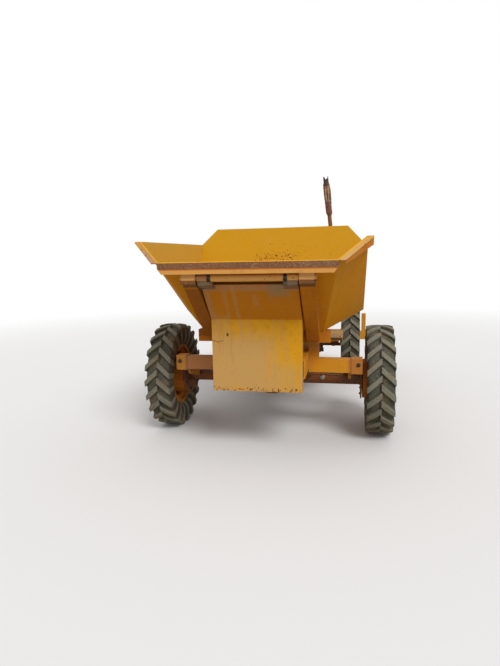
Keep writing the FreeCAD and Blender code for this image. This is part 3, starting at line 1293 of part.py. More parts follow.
def make_bumper():
    """Bumper beam on plates from the rails, tow clevis and the uprights at its ends."""
    y0 = cowl_end
    y1 = y0 + s.bumper_length
    z0 = bumper_bottom
    z1 = z0 + s.bumper_height
    half = s.bumper_half_width
    beam = box("bumper_beam", (-half, half), (y0, y1), (z0, z1))
    drop = box("bumper_drop", (s.rail_inner, rail_outer), (y0, y0 + s.cheek_gauge), (z0, rail_top))
    upright = box("bumper_upright", (half - s.upright_width, half),
                  (y0, y0 + s.plate_gauge), (z0, z0 + s.upright_height))
    reach = s.tow_ear_reach
    ear_half = s.tow_ear_half
    ears = []
    for name, z in (("tow_ear_low", z0), ("tow_ear_high", z1 - s.tow_ear_gauge)):
        ears.append(plate(name, "XY",
                          [(-ear_half, y1), (ear_half, y1), (ear_half, y1 + reach * 0.6),
                           (ear_half * 0.5, y1 + reach), (ear_half * -0.5, y1 + reach),
                           (-ear_half, y1 + reach * 0.6)], z, z + s.tow_ear_gauge))
    bore = rod("tow_bore", s.tow_pin_radius, (0, y1 + reach * 0.55, z0 - 1),
               s.bumper_height + 2, "Z")
    solid = joined("bumper_solid", [beam, drop, mirrored("bumper_drop_right", drop), upright,
                                    mirrored("bumper_upright_right", upright)] + ears)
    return without("rear_bumper", solid, bore)


def make_mudguards():
    """Sheet guards over the rear wheels with sloping ends, an edge strip and cowl brackets."""
    t = s.mudguard_gauge
    top = mudguard_height
    front = rear_axle_y - s.mudguard_half_length
    rear = rear_axle_y + s.mudguard_half_length
    back = cowl_end - s.working_gap
    low = top - s.mudguard_flap_drop
    low_rear = top - s.mudguard_rear_drop
    sheet_metal = plate("mudguard_sheet", "YZ",
                        [(front - s.mudguard_flap, low), (front, top), (rear, top),
                         (back, low_rear), (back, low_rear - t), (rear, top - t),
                         (front, top - t), (front - s.mudguard_flap, low - t)],
                        mudguard_inner, mudguard_outer)
    edge = plate("mudguard_rim", "YZ",
                 [(front, top - t), (rear, top - t), (rear, top - s.mudguard_edge),
                  (front, top - s.mudguard_edge)], mudguard_outer - t, mudguard_outer)
    pieces = [sheet_metal, edge]
    for name, y in (("guard_bracket_front", rear_axle_y - s.crossmember_length * 2),
                    ("guard_bracket_rear", rear_axle_y + s.crossmember_length * 4)):
        pieces.append(box(name, (cowl_half_width, mudguard_inner + s.arm_width),
                          (y, y + s.crossmember_length / 2),
                          (top - t - s.arm_gauge, top - t)))
    left = joined("mudguard_left", pieces)
    return grouped("mudguards", [left, mirrored("mudguard_right", left)])


def make_all():
    """Build every sub-part, in order from the front of the machine to its rear."""
    nodes = [make_skip_tub(), make_skip_rim_flange(), *make_lip(), make_underframe(),
             make_pivot_shaft(), make_apron(), make_stand(), *make_ram(), make_chassis(),
             make_outriggers(), make_drive_axle(), make_transmission(), make_engine(),
             make_rear_axle(), make_knuckle(1), make_knuckle(-1), make_track_rod(),
             make_drag_link(), make_drop_arm(), make_platform(), make_column(),
             make_steering_wheel(), make_controls(), *make_seat(), make_tank(), make_cowl(),
             make_hood(), make_grille(), make_exhaust(), make_bumper(), make_mudguards()]
    tyre = tyre_shape()
    # name, side, track, station, driven
    wheels = [("front_left", 1, s.track_front, front_axle_y, True),
              ("front_right", -1, s.track_front, front_axle_y, True),
              ("rear_left", 1, s.track_rear, rear_axle_y, False),
              ("rear_right", -1, s.track_rear, rear_axle_y, False)]
    for tag, side, track, y, driven in wheels:
        nodes += make_wheel(tag, side, track, y, tyre, driven)
    return nodes


def write_nodes(nodes):
    """Check the document and every sub-part, then write one file for each."""
    for item in doc.Objects:
        if "Invalid" in item.State or "Error" in item.State:
            raise ValueError("%s: %s" % (item.Name, item.State))
    os.makedirs("parts", exist_ok=True)
    for node in nodes:
        shape = node.Shape
        if shape.isNull() or not shape.isValid() or shape.Volume <= 0:
            raise ValueError("%s has no sound solid" % node.Label)
        shape.exportStep("parts/%s.step" % node.Label)
        print("%-18s %2d solids %9.1f cm3" % (node.Label, len(shape.Solids), shape.Volume / 1000))


made = make_all()
doc.recompute()
write_nodes(made)
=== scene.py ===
"""Looks of a worn yellow site dumper: finishes, tyres, seat pads, exhaust and small fittings."""

from __future__ import annotations

import json
import logging
import math
from dataclasses import dataclass
from enum import Enum
from typing import Any

import bmesh
import bpy
import numpy as np
from mathutils import Matrix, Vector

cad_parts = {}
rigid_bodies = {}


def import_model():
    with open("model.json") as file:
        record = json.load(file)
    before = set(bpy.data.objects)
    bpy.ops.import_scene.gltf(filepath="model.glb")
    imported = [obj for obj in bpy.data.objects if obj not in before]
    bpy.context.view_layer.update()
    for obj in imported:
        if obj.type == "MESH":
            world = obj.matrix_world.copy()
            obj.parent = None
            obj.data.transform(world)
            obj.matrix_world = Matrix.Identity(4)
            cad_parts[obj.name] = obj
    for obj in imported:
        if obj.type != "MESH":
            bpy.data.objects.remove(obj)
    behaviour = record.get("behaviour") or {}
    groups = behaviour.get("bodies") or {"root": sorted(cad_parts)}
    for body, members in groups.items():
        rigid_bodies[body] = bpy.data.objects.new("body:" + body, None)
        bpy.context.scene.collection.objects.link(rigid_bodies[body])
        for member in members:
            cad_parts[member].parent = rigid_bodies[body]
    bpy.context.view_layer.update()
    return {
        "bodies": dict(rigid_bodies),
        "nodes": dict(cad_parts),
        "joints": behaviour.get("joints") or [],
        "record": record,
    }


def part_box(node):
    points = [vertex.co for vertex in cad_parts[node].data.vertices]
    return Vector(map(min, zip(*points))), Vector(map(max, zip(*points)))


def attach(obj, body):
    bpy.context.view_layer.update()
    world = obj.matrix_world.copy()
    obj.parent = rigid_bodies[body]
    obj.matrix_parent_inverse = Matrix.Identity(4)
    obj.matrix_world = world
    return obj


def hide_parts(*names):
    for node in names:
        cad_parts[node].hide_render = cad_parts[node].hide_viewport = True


TURN = 2 * math.pi
SIDES = (-1, 1)
log = logging.getLogger("site_dumper")

Rgb = tuple[int, int, int]
Point = tuple[float, float, float]
Socket = bpy.types.NodeSocket


class Axis(Enum):
    """The machine's own directions."""

    LEFT = (1.0, 0.0, 0.0)
    REAR = (0.0, 1.0, 0.0)
    FRONT = (0.0, -1.0, 0.0)
    UP = (0.0, 0.0, 1.0)
    DOWN = (0.0, 0.0, -1.0)


class Slot(Enum):
    """The record's material slots."""

    YELLOW = "yellow_paint"
    WORN = "worn_steel"
    DARK = "dark_paint"
    CAST = "cast_parts"
    BRIGHT = "bright_steel"
    EXHAUST = "exhaust_steel"
    RUBBER = "tyre_rubber"
    VINYL = "seat_vinyl"
    PLASTIC = "wheel_plastic"


def linear(colour: Rgb) -> tuple[float, float, float, float]:
    """Turns a display colour into a linear one: a straight line when dark, else a power of 2.4.

    Args:
        colour: Red, green and blue from 0 to 255.

    Returns:
        Red, green, blue and full opacity from 0 to 1.
    """
    share = np.array(colour, float) / 255
    light = np.where(share <= 0.04045, share / 12.92, ((share + 0.055) / 1.055) ** 2.4)
    return (*(float(x) for x in light), 1.0)


# Shaders


class Tone:
    """A number that changes over a surface; arithmetic on it adds Math nodes."""

    def __init__(self, coat: Coat, socket: Socket) -> None:
        """Wraps a socket of a coat's node tree."""
        self.coat, self.socket = coat, socket

    def _sum(self, operation: str, first: Any, second: Any = 0.0) -> Tone:
        """Adds one Math node and returns its result."""
        made = self.coat.node("ShaderNodeMath", {"operation": operation}, {0: first, 1: second})
        return Tone(self.coat, made.outputs[0])

    def __add__(self, other: Any) -> Tone:
        """Sum."""
        return self._sum("ADD", self, other)

    def __sub__(self, other: Any) -> Tone:
        """Difference."""
        return self._sum("SUBTRACT", self, other)

    def __rsub__(self, other: Any) -> Tone:
        """Difference from a number."""
        return self._sum("SUBTRACT", other, self)

    def __mul__(self, other: Any) -> Tone:
        """Product."""
        return self._sum("MULTIPLY", self, other)

    __radd__ = __add__
    __rmul__ = __mul__

    def size(self) -> Tone:
        """The number without its sign."""
        return self._sum("ABSOLUTE", self)

    def sine(self) -> Tone:
        """Sine of the number."""
        return self._sum("SINE", self)

    def most(self, other: Any) -> Tone:
        """The larger of two numbers."""
        return self._sum("MAXIMUM", self, other)

    def least(self, other: Any) -> Tone:
        """The smaller of two numbers."""
        return self._sum("MINIMUM", self, other)

    def ramp(self, low: float, high: float) -> Tone:
        """Eases from 0 at low to 1 at high, and stays there beyond."""
        inputs = {"Value": self, "From Min": low, "From Max": high}
        made = self.coat.node("ShaderNodeMapRange", {"interpolation_type": "SMOOTHSTEP"}, inputs)
        return Tone(self.coat, made.outputs[0])

    def fall(self, low: float, high: float) -> Tone:
        """Eases from 1 at low to 0 at high."""
        return 1.0 - self.ramp(low, high)


@dataclass(frozen=True)
class Patch:
    """A soft-edged box of the machine, in metres, on all faces or on those that look one way."""

    low: Point
    high: Point
    soft: float = 0.03
    toward: Axis | None = None


@dataclass(frozen=True)
class Stroke:
    """A straight streak or scratch on the machine, in metres."""

    start: Point
    end: Point
    half: float
    colour: Rgb
    share: float = 0.7


class Coat:
    """One material's node tree, or the world's."""

    def __init__(self, name: str, owner: bpy.types.World | None = None) -> None:
        """Starts an empty tree with the place of each point at hand."""
        self.material = owner or bpy.data.materials.new(name)
        self.material.use_nodes = True
        self.tree = self.material.node_tree
        self.tree.nodes.clear()
        found = self.node("ShaderNodeTexCoord").outputs
        self.place, self.facing = found["Object"], found["Normal"]

    def node(self, kind: str, settings: dict | None = None, inputs: dict | None = None) -> bpy.types.Node:
        """Adds a node, sets it up, then feeds its sockets.

        Args:
            kind: The node's type.
            settings: Its own properties, set first.
            inputs: Values, sockets or tones by socket name or number.

        Returns:
            The node.
        """
        made = self.tree.nodes.new(kind)
        for key, value in (settings or {}).items():
            setattr(made, key, value)
        for key, value in (inputs or {}).items():
            source = value.socket if isinstance(value, Tone) else value
            if isinstance(source, Socket):
                self.tree.links.new(source, made.inputs[key])
            else:
                made.inputs[key].default_value = source
        return made

    def part(self, vector: Socket) -> tuple[Tone, Tone, Tone]:
        """The three numbers of a vector."""
        made = self.node("ShaderNodeSeparateXYZ", inputs={0: vector})
        return tuple(Tone(self, socket) for socket in made.outputs)

    def stretched(self, scale: Point, turn: Point = (0.0, 0.0, 0.0)) -> Socket:
        """The place, turned by angles in radians and scaled along each axis."""
        inputs = {"Vector": self.place, "Rotation": turn, "Scale": scale}
        return self.node("ShaderNodeMapping", inputs=inputs).outputs[0]

    def grain(self, scale: float, detail: float = 3.0, at: Socket | None = None) -> Tone:
        """Cloudy noise around 0.5; a larger scale is finer."""
        inputs = {"Vector": at or self.place, "Scale": scale, "Detail": detail, "Roughness": 0.6}
        return Tone(self, self.node("ShaderNodeTexNoise", inputs=inputs).outputs[0])

    def cells(self, scale: float, at: Socket | None = None) -> Tone:
        """Distance to the nearest of scattered points."""
        inputs = {"Vector": at or self.place, "Scale": scale}
        return Tone(self, self.node("ShaderNodeTexVoronoi", inputs=inputs).outputs[0])

    def patch(self, area: Patch) -> Tone:
        """1 inside a soft-edged box, 0 outside: the product of its three easings."""
        product = None
        for here, low, high in zip(self.part(self.place), area.low, area.high):
            away = (here - (low + high) / 2).size()
            inside = away.fall((high - low) / 2, (high - low) / 2 + area.soft)
            product = inside if product is None else product * inside
        if area.toward is not None:
            seen = zip(self.part(self.facing), area.toward.value)
            product = product * sum(here * way for here, way in seen if way).ramp(0.15, 0.45)
        return product

    def stroke(self, mark: Stroke) -> Tone:
        """1 on a frayed streak: place less its nearest point on the line, squared, under the half width squared."""
        run = np.array(mark.end) - np.array(mark.start)
        away = [here - first for here, first in zip(self.part(self.place), mark.start)]
        held = sum(here * float(step) for here, step in zip(away, run / (run @ run))).most(0.0).least(1.0)
        gaps = [here - held * float(step) for here, step in zip(away, run)]
        square = sum(gap * gap for gap in gaps)
        frayed = self.grain(90.0, 3.0).ramp(0.3, 0.6) * 0.6 + 0.4
        return square.fall(0.0, (mark.half * 1.6) ** 2) * frayed * mark.share

    def mix(self, share: Any, first: Any, second: Any) -> Socket:
        """Blends two colours, given as display colours or sockets, by a share."""
        pair = [linear(c) if isinstance(c, tuple) else c for c in (first, second)]
        inputs = {0: share, 6: pair[0], 7: pair[1]}
        return self.node("ShaderNodeMix", {"data_type": "RGBA"}, inputs).outputs[2]

    def relief(self, height: Tone, depth: float) -> Socket:
        """Surface direction of a height pattern of a depth in metres."""
        inputs = {"Height": height, "Distance": depth, "Strength": 1.0}
        return self.node("ShaderNodeBump", inputs=inputs).outputs[0]

    def close(self, colour: Any, rough: Any, normal: Socket, metal: Any = 0.0, **more: float) -> bpy.types.Material:
        """Ends the tree in one shader.

        Args:
            colour: Socket of the colour.
            rough: Roughness.
            normal: Socket of the surface direction.
            metal: Metallic share.
            **more: Constants on other sockets, with _ for a blank.

        Returns:
            The material.
        """
        inputs = {"Base Color": colour, "Roughness": rough, "Metallic": metal, "Normal": normal}
        inputs.update({key.replace("_", " "): value for key, value in more.items()})
        shader = self.node("ShaderNodeBsdfPrincipled", inputs=inputs)
        self.node("ShaderNodeOutputMaterial", inputs={"Surface": shader.outputs[0]})
        return self.material


@dataclass(frozen=True)
class Enamel:
    """Sun-faded paint on sheet steel, with dust, streaks and rusty chips.

    Amounts run from 0 to 1. Patches add to them in places; tints recolour the paint there, and some of them are painted
    shade or painted light.
    """

    name: str
    fresh: Rgb = (228, 160, 18)
    faded: Rgb = (226, 166, 40)
    shade: Rgb = (186, 112, 12)
    dust_colour: Rgb = (196, 156, 104)
    rust: Rgb = (92, 50, 26)
    dust: float = 0.3
    streaks: float = 0.25
    chips: float = 0.15
    tints_and_painted_light: tuple[tuple[Patch, Rgb, float], ...] = ()
    dusty: tuple[tuple[Patch, float], ...] = ()
    chipped: tuple[tuple[Patch, float], ...] = ()
    marks: tuple[Stroke, ...] = ()

    def material(self) -> bpy.types.Material:
        """Builds the paint: fading, tints, runs, dust on what faces up, then chips with bare rust."""
        coat = Coat(self.name)
        cloud, mottle, speck = coat.grain(2.6, 4.0), coat.grain(17.0, 4.0), coat.grain(150.0, 2.0)
        colour = coat.mix(cloud.ramp(0.42, 0.64), self.fresh, self.faded)
        colour = coat.mix(mottle.ramp(0.5, 0.75) * 0.35, colour, self.shade)
        for area, tint, share in self.tints_and_painted_light:
            colour = coat.mix(coat.patch(area) * share, colour, tint)
        run = coat.grain(1.0, 3.0, coat.stretched((34.0, 34.0, 1.7)))
        colour = coat.mix(run.ramp(0.58, 0.72) * self.streaks, colour, self.dust_colour)
        colour = coat.mix(run.fall(0.28, 0.4) * (self.streaks * 0.7), colour, self.shade)
        settled = coat.part(coat.facing)[2].ramp(0.1, 0.95) * 0.8 + 0.25
        for area, share in self.dusty:
            settled = settled + coat.patch(area) * share
        dust = settled * coat.grain(7.0, 5.0).ramp(0.3, 0.7) * self.dust + speck.ramp(0.6, 0.75) * 0.1
        colour = coat.mix(dust.ramp(0.0, 1.0), colour, self.dust_colour)
        for mark in self.marks:
            colour = coat.mix(coat.stroke(mark), colour, mark.colour)
        worn = coat.grain(2.2, 2.0) * (self.chips * 0.3)
        for area, share in self.chipped:
            worn = worn + coat.patch(area) * share
        flake = coat.grain(74.0, 3.0) + worn * 0.17 + coat.grain(11.0, 2.0) * 0.05
        ring, chip = flake.ramp(0.705, 0.745), flake.ramp(0.745, 0.765)
        colour = coat.mix(ring * 0.55, colour, self.shade)
        colour = coat.mix(chip, colour, coat.mix(speck.ramp(0.4, 0.6), self.rust, (128, 78, 42)))
        rough = dust.ramp(0.0, 0.9) * 0.25 + chip * 0.2 + mottle * 0.15 + 0.56
        height = coat.grain(420.0, 1.0) * 0.12 + dust * speck * 0.35 - chip
        return coat.close(colour, rough, coat.relief(height, 0.0006), IOR=1.48, Specular_IOR_Level=0.16)


@dataclass(frozen=True)
class Iron:
    """Bare or greasy metal with rust blooms and dirt in its hollows."""

    name: str
    metal: Rgb
    rust: Rgb
    grime: Rgb
    rusted: float = 0.5
    greasy: float = 0.3
    shine: float = 0.6
    rough: float = 0.45

    def material(self) -> bpy.types.Material:
        """Builds the metal: its own colour, rust where a cloud is high, grease where it is low."""
        coat = Coat(self.name)
        cloud, fine, pits = coat.grain(9.0, 6.0), coat.grain(85.0, 5.0), coat.grain(260.0, 2.0)
        oxide = (cloud + fine * 0.5).ramp(1.02 - 0.62 * self.rusted, 1.16 - 0.62 * self.rusted)
        grease = cloud.fall(0.28 + 0.22 * self.greasy, 0.34 + 0.22 * self.greasy)
        flecked = coat.mix(fine.ramp(0.35, 0.7), self.rust, tuple(int(x * 0.76) for x in self.rust))
        colour = coat.mix(oxide, self.metal, flecked)
        colour = coat.mix(grease * 0.85, colour, self.grime)
        colour = coat.mix(coat.grain(6.0, 3.0).ramp(0.55, 0.75) * 0.35, colour, (150, 126, 96))
        rough = oxide * 0.35 + pits * 0.2 + self.rough - grease * 0.15
        metallic = (1.0 - oxide) * (1.0 - grease) * self.shine
        return coat.close(colour, rough, coat.relief(pits * 0.4 + fine * oxide, 0.0009), metallic)


@dataclass(frozen=True)
class Tread:
    """Dusty tyre rubber, paler where the bars touch the ground and darker between the bars as painted shade."""

    name: str
    groove_painted_shade: Rgb = (83, 82, 70)
    bar: Rgb = (128, 127, 112)
    wall: Rgb = (70, 60, 50)
    mud: Rgb = (132, 112, 86)

    def material(self) -> bpy.types.Material:
        """Builds the rubber from the mesh's own height of the bars and how far out it faces."""
        coat = Coat(self.name)
        height = Tone(coat, coat.node("ShaderNodeAttribute", {"attribute_name": "bar_height"}).outputs["Fac"])
        wall = coat.part(coat.facing)[0].size().ramp(0.55, 0.92) * (1.0 - height.ramp(0.5, 1.0))
        cloud, fine = coat.grain(11.0, 5.0), coat.grain(130.0, 4.0)
        # painted shade: darker rubber between the bars, dusty pale rubber on them
        colour = coat.mix(height.ramp(0.1, 0.95), self.groove_painted_shade, self.bar)
        colour = coat.mix(wall, colour, self.wall)
        colour = coat.mix(cloud.ramp(0.48, 0.7) * 0.6, colour, self.mud)
        colour = coat.mix(fine.ramp(0.55, 0.72) * 0.5, colour, (156, 152, 134))
        colour = coat.mix(fine.fall(0.32, 0.45) * 0.55, colour, (48, 46, 40))
        cuts = coat.grain(1.0, 3.0, coat.stretched((60.0, 260.0, 260.0)))
        relief = coat.relief(fine * 0.7 + cuts.ramp(0.35, 0.65) * 0.6 + cloud * 0.5, 0.0016)
        return coat.close(colour, cloud * 0.15 + 0.78, relief, IOR=1.45)


@dataclass(frozen=True)
class Vinyl:
    """Cracked black seat vinyl with a pressed leather grain."""

    name: str
    tone: Rgb = (38, 36, 34)
    bloom: Rgb = (92, 84, 72)

    def material(self) -> bpy.types.Material:
        """Builds the vinyl: fine cells as grain, a dusty bloom on what faces up."""
        coat = Coat(self.name)
        grain = coat.cells(420.0)
        dust = coat.part(coat.facing)[2].ramp(0.2, 1.0) * coat.grain(12.0, 5.0).ramp(0.4, 0.7) * 0.5
        crack = coat.cells(38.0, coat.stretched((1.0, 2.2, 1.0))).fall(0.03, 0.07)
        colour = coat.mix(dust, self.tone, self.bloom)
        colour = coat.mix(crack * 0.5, colour, (120, 104, 80))
        relief = coat.relief(grain.ramp(0.1, 0.5) - crack, 0.0005)
        return coat.close(colour, dust * 0.3 + 0.48, relief, IOR=1.5)


@dataclass(frozen=True)
class Moulded:
    """Moulded black plastic, polished where hands hold it."""

    name: str
    tone: Rgb = (30, 30, 31)

    def material(self) -> bpy.types.Material:
        """Builds the plastic with fine sparkle and dusty clouds."""
        coat = Coat(self.name)
        cloud = coat.grain(14.0, 4.0)
        colour = coat.mix(cloud.ramp(0.45, 0.75) * 0.45, self.tone, (96, 86, 72))
        return coat.close(colour, cloud * 0.3 + 0.3, coat.relief(coat.grain(600.0, 1.0), 0.0002), IOR=1.5)


@dataclass(frozen=True)
class BurntSteel:
    """Exhaust steel: rusty red silencer, grey band, brown and cream fluted heat shield."""

    name: str

    def material(self) -> bpy.types.Material:
        """Builds bands by height: pipe, silencer, bare band, shield and soot at the tip."""
        coat = Coat(self.name)
        height = coat.part(coat.place)[2]
        fine, cloud = coat.grain(70.0, 5.0), coat.grain(16.0, 5.0)
        stripe = coat.grain(1.0, 3.0, coat.stretched((70.0, 70.0, 6.0)))
        colour = coat.mix(cloud.ramp(0.4, 0.65), (128, 84, 30), (94, 62, 34))
        bands = (
            (1.61, 1.63, coat.mix(cloud.ramp(0.4, 0.6), (138, 80, 56), (112, 68, 52))),
            (1.735, 1.745, (108, 100, 94)),
            (1.745, 1.75, coat.mix(stripe.ramp(0.47, 0.6), (118, 76, 50), (188, 156, 124))),
            (1.89, 1.9, (66, 50, 42)),
        )
        for low, high, band in bands:
            colour = coat.mix(height.ramp(low, high), colour, band)
        colour = coat.mix(fine.ramp(0.6, 0.75) * 0.6, colour, (150, 100, 62))
        bare = height.ramp(1.735, 1.74) * height.fall(1.745, 1.75) * 0.4
        return coat.close(colour, fine * 0.25 + 0.58, coat.relief(fine + cloud * 0.6, 0.0012), bare)


@dataclass(frozen=True)
class TreadPlate:
    """Painted platform plate with raised bars in two slants, worn bare on their tops."""

    name: str
    pitch: float = 0.030

    def material(self) -> bpy.types.Material:
        """Builds the plate: a bar is the product of two sine waves, one twice as fine along it."""
        coat = Coat(self.name)
        rows = []
        for slant in (0.785, -0.785):
            x, y, _ = coat.part(coat.stretched((1.0, 1.0, 1.0), (0.0, 0.0, slant)))
            wide = (x * (math.pi / self.pitch)).sine().size().ramp(0.86, 0.94)
            rows.append(wide * (y * (TURN / self.pitch)).sine().size().ramp(0.3, 0.5))
        flat = coat.part(coat.facing)[2].ramp(0.8, 0.95)
        bars = rows[0].most(rows[1]) * flat
        worn = coat.grain(8.0, 4.0).ramp(0.4, 0.65)
        colour = coat.mix(coat.grain(5.0, 4.0).ramp(0.4, 0.7), (196, 138, 44), (168, 126, 72))
        colour = coat.mix(flat * worn * 0.5, colour, (142, 122, 94))
        colour = coat.mix(bars * worn, colour, (122, 116, 108))
        relief = coat.relief(bars + coat.grain(90.0, 3.0) * 0.2, 0.0014)
        return coat.close(colour, worn * 0.2 + 0.45, relief, bars * worn * 0.7)


DRY_STREAK, DRIP, SCRATCH = (200, 152, 96), (228, 158, 26), (112, 66, 30)


class Finish(Enum):
    """The machine's finishes by use."""

    SKIP = Enamel(
        "skip_enamel",
        dust=0.16,
        streaks=0.12,
        tints_and_painted_light=(
            (Patch((-0.66, -0.52, 0.8), (0.66, 0.0, 1.5), 0.02, Axis.FRONT), (190, 138, 4), 0.9),
            (Patch((-0.7, -1.6, 0.8), (-0.36, 0.0, 1.4), 0.03, Axis.LEFT), (206, 168, 68), 0.85),
            # painted shade: darker orange on faces of the skip that look down
            (Patch((-0.7, -1.6, 0.7), (0.7, -0.4, 1.3), 0.03, Axis.DOWN), (204, 126, 8), 0.5),
        ),
        dusty=((Patch((-0.5, -1.58, 1.15), (0.5, -1.3, 1.22), 0.02), 0.5),),
        chipped=(
            (Patch((-0.18, -0.5, 1.165), (0.12, -0.05, 1.24), 0.05, Axis.FRONT), 0.62),
            (Patch((-0.2, -0.5, 1.15), (0.45, -0.05, 1.33), 0.06, Axis.FRONT), 0.28),
        ),
    )
    FLANGE = Enamel(
        "flange_enamel",
        fresh=(206, 150, 52),
        faded=(208, 164, 96),
        dust=0.4,
        streaks=0.0,
        tints_and_painted_light=(
            (Patch((-0.7, -1.6, 1.25), (-0.4, -1.36, 1.35)), (176, 128, 52), 0.6),
            (Patch((-0.7, -1.6, 1.15), (-0.4, -1.44, 1.26), 0.05), (172, 128, 100), 0.8),
        ),
        chipped=((Patch((-0.7, -1.6, 1.1), (0.7, 0.0, 1.36), 0.01), 0.3),),
    )
    CHANNEL = Enamel(
        "channel_enamel",
        fresh=(224, 164, 82),
        faded=(222, 160, 92),
        shade=(186, 104, 46),
        dust=0.5,
        streaks=0.1,
        tints_and_painted_light=((Patch((-0.5, -1.6, 1.176), (0.5, -1.4, 1.19), 0.004), (188, 96, 44), 0.7),),
    )
    UNDERFRAME = Enamel(
        "underframe_enamel",
        fresh=(196, 120, 16),
        faded=(190, 118, 28),
        shade=(140, 80, 16),
        tints_and_painted_light=(
            # painted shade: darker brown-orange on the rib at negative X
            (Patch((-0.42, -1.46, 0.74), (-0.25, -1.0, 1.07), 0.02), (134, 78, 26), 0.65),
            # pale dusty band on the nose blocks' tops, partly painted light lifting them out of the lip's shadow
            (Patch((-0.4, -1.6, 1.122), (0.4, -1.42, 1.16), 0.006), (234, 182, 118), 0.85),
            # painted shade: dark brown band on the lower faces of the nose blocks
            (Patch((-0.4, -1.6, 1.08), (0.4, -1.42, 1.114), 0.006), (112, 76, 52), 0.9),
        ),
    )
    APRON = Enamel(
        "apron_enamel",
        fresh=(226, 160, 22),
        faded=(222, 162, 38),
        shade=(176, 104, 16),
        dust=0.25,
        streaks=0.3,
        tints_and_painted_light=(
            # painted shade: darker orange on the upper apron, which leans out and faces down
            (Patch((-0.3, -1.5, 0.86), (0.3, -1.2, 1.1), 0.02, Axis.DOWN), (200, 122, 20), 0.85),
            (Patch((-0.3, -1.3, 0.38), (0.04, -1.2, 0.7), 0.13), (202, 162, 104), 0.8),
            (Patch((0.04, -1.3, 0.38), (0.3, -1.2, 0.54), 0.12), (206, 162, 92), 0.7),
            (Patch((-0.3, -1.3, 0.5), (-0.2, -1.2, 0.85), 0.08), (206, 160, 92), 0.6),
            (Patch((-0.3, -1.5, 1.058), (0.3, -1.2, 1.1), 0.014), (190, 136, 92), 0.85),
            (Patch((-0.3, -1.5, 0.88), (-0.25, -1.2, 1.1), 0.02), (190, 142, 94), 0.7),
            (Patch((0.13, -1.45, 1.05), (0.18, -1.2, 1.08), 0.06), (158, 138, 104), 0.75),
        ),
        dusty=((Patch((-0.3, -1.5, 0.4), (0.0, -1.2, 0.75), 0.12), 0.4),),
        chipped=((Patch((-0.27, -1.3, 0.42), (0.27, -1.2, 0.45), 0.015), 0.75),),
        marks=(
            Stroke((-0.15, -1.415, 1.047), (-0.16, -1.263, 0.88), 0.01, DRY_STREAK, 0.5),
            Stroke((-0.098, -1.442, 1.076), (-0.101, -1.263, 0.88), 0.01, DRY_STREAK, 0.6),
            Stroke((-0.097, -1.254, 0.862), (-0.08, -1.254, 0.74), 0.01, DRY_STREAK, 0.7),
            Stroke((-0.05, -1.254, 0.862), (-0.02, -1.254, 0.74), 0.008, DRY_STREAK, 0.5),
            Stroke((0.022, -1.392, 1.022), (0.02, -1.347, 0.972), 0.014, DRY_STREAK, 0.5),
            Stroke((0.15, -1.254, 0.862), (0.185, -1.254, 0.64), 0.012, DRY_STREAK, 0.4),
            Stroke((0.06, -1.254, 0.72), (0.075, -1.254, 0.52), 0.008, DRIP, 0.5),
            Stroke((0.24, -1.254, 0.78), (0.245, -1.254, 0.48), 0.012, DRIP, 0.6),
            Stroke((-0.15, -1.254, 0.446), (-0.05, -1.254, 0.444), 0.006, (236, 160, 10), 0.6),
            Stroke((-0.177, -1.254, 0.781), (-0.177, -1.254, 0.774), 0.006, (52, 34, 22), 1.0),
            Stroke((-0.269, -1.254, 0.741), (-0.238, -1.254, 0.731), 0.0024, SCRATCH, 0.8),
            Stroke((-0.238, -1.254, 0.731), (-0.208, -1.254, 0.74), 0.0024, SCRATCH, 0.8),
        ),
    )
    STAND = Enamel(
        "stand_enamel",
        fresh=(214, 142, 30),
        dust=0.4,
        tints_and_painted_light=(
            (Patch((-0.3, -1.53, 1.1), (0.3, -1.46, 1.16), 0.01), (238, 184, 112), 0.8),
            (Patch((-0.285, -1.53, 1.1), (-0.222, -1.46, 1.16), 0.008), (186, 138, 104), 0.75),
        ),
        chipped=((Patch((0.1, -1.53, 1.12), (0.28, -1.46, 1.16), 0.01), 0.5),),
    )
    OUTRIGGER = Enamel(
        "outrigger_enamel",
        fresh=(206, 140, 46),
        faded=(204, 146, 72),
        dust=0.5,
        chips=0.3,
        tints_and_painted_light=(
            # painted shade: greyer pinkish brown on the outrigger at negative X
            (Patch((-0.56, -1.0, 0.46), (-0.28, -0.8, 0.6), 0.02), (176, 120, 86), 0.75),
            # painted sunlight: brighter, more saturated yellow on the outrigger at positive X
            (Patch((0.33, -1.0, 0.46), (0.53, -0.8, 0.6)), (220, 148, 22), 0.7),
            (Patch((0.55, -1.0, 0.46), (0.65, -0.8, 0.6), 0.02), (178, 112, 56), 0.7),
        ),
    )
    FRAME = Enamel("frame_enamel", fresh=(214, 142, 30), faded=(212, 152, 54), dust=0.45, chips=0.3)
    PANEL = Enamel("panel_enamel", dust=0.35, chips=0.2)
    RIM = Enamel("rim_enamel", fresh=(196, 122, 34), faded=(178, 106, 44), shade=(120, 66, 32), dust=0.6, chips=0.6)
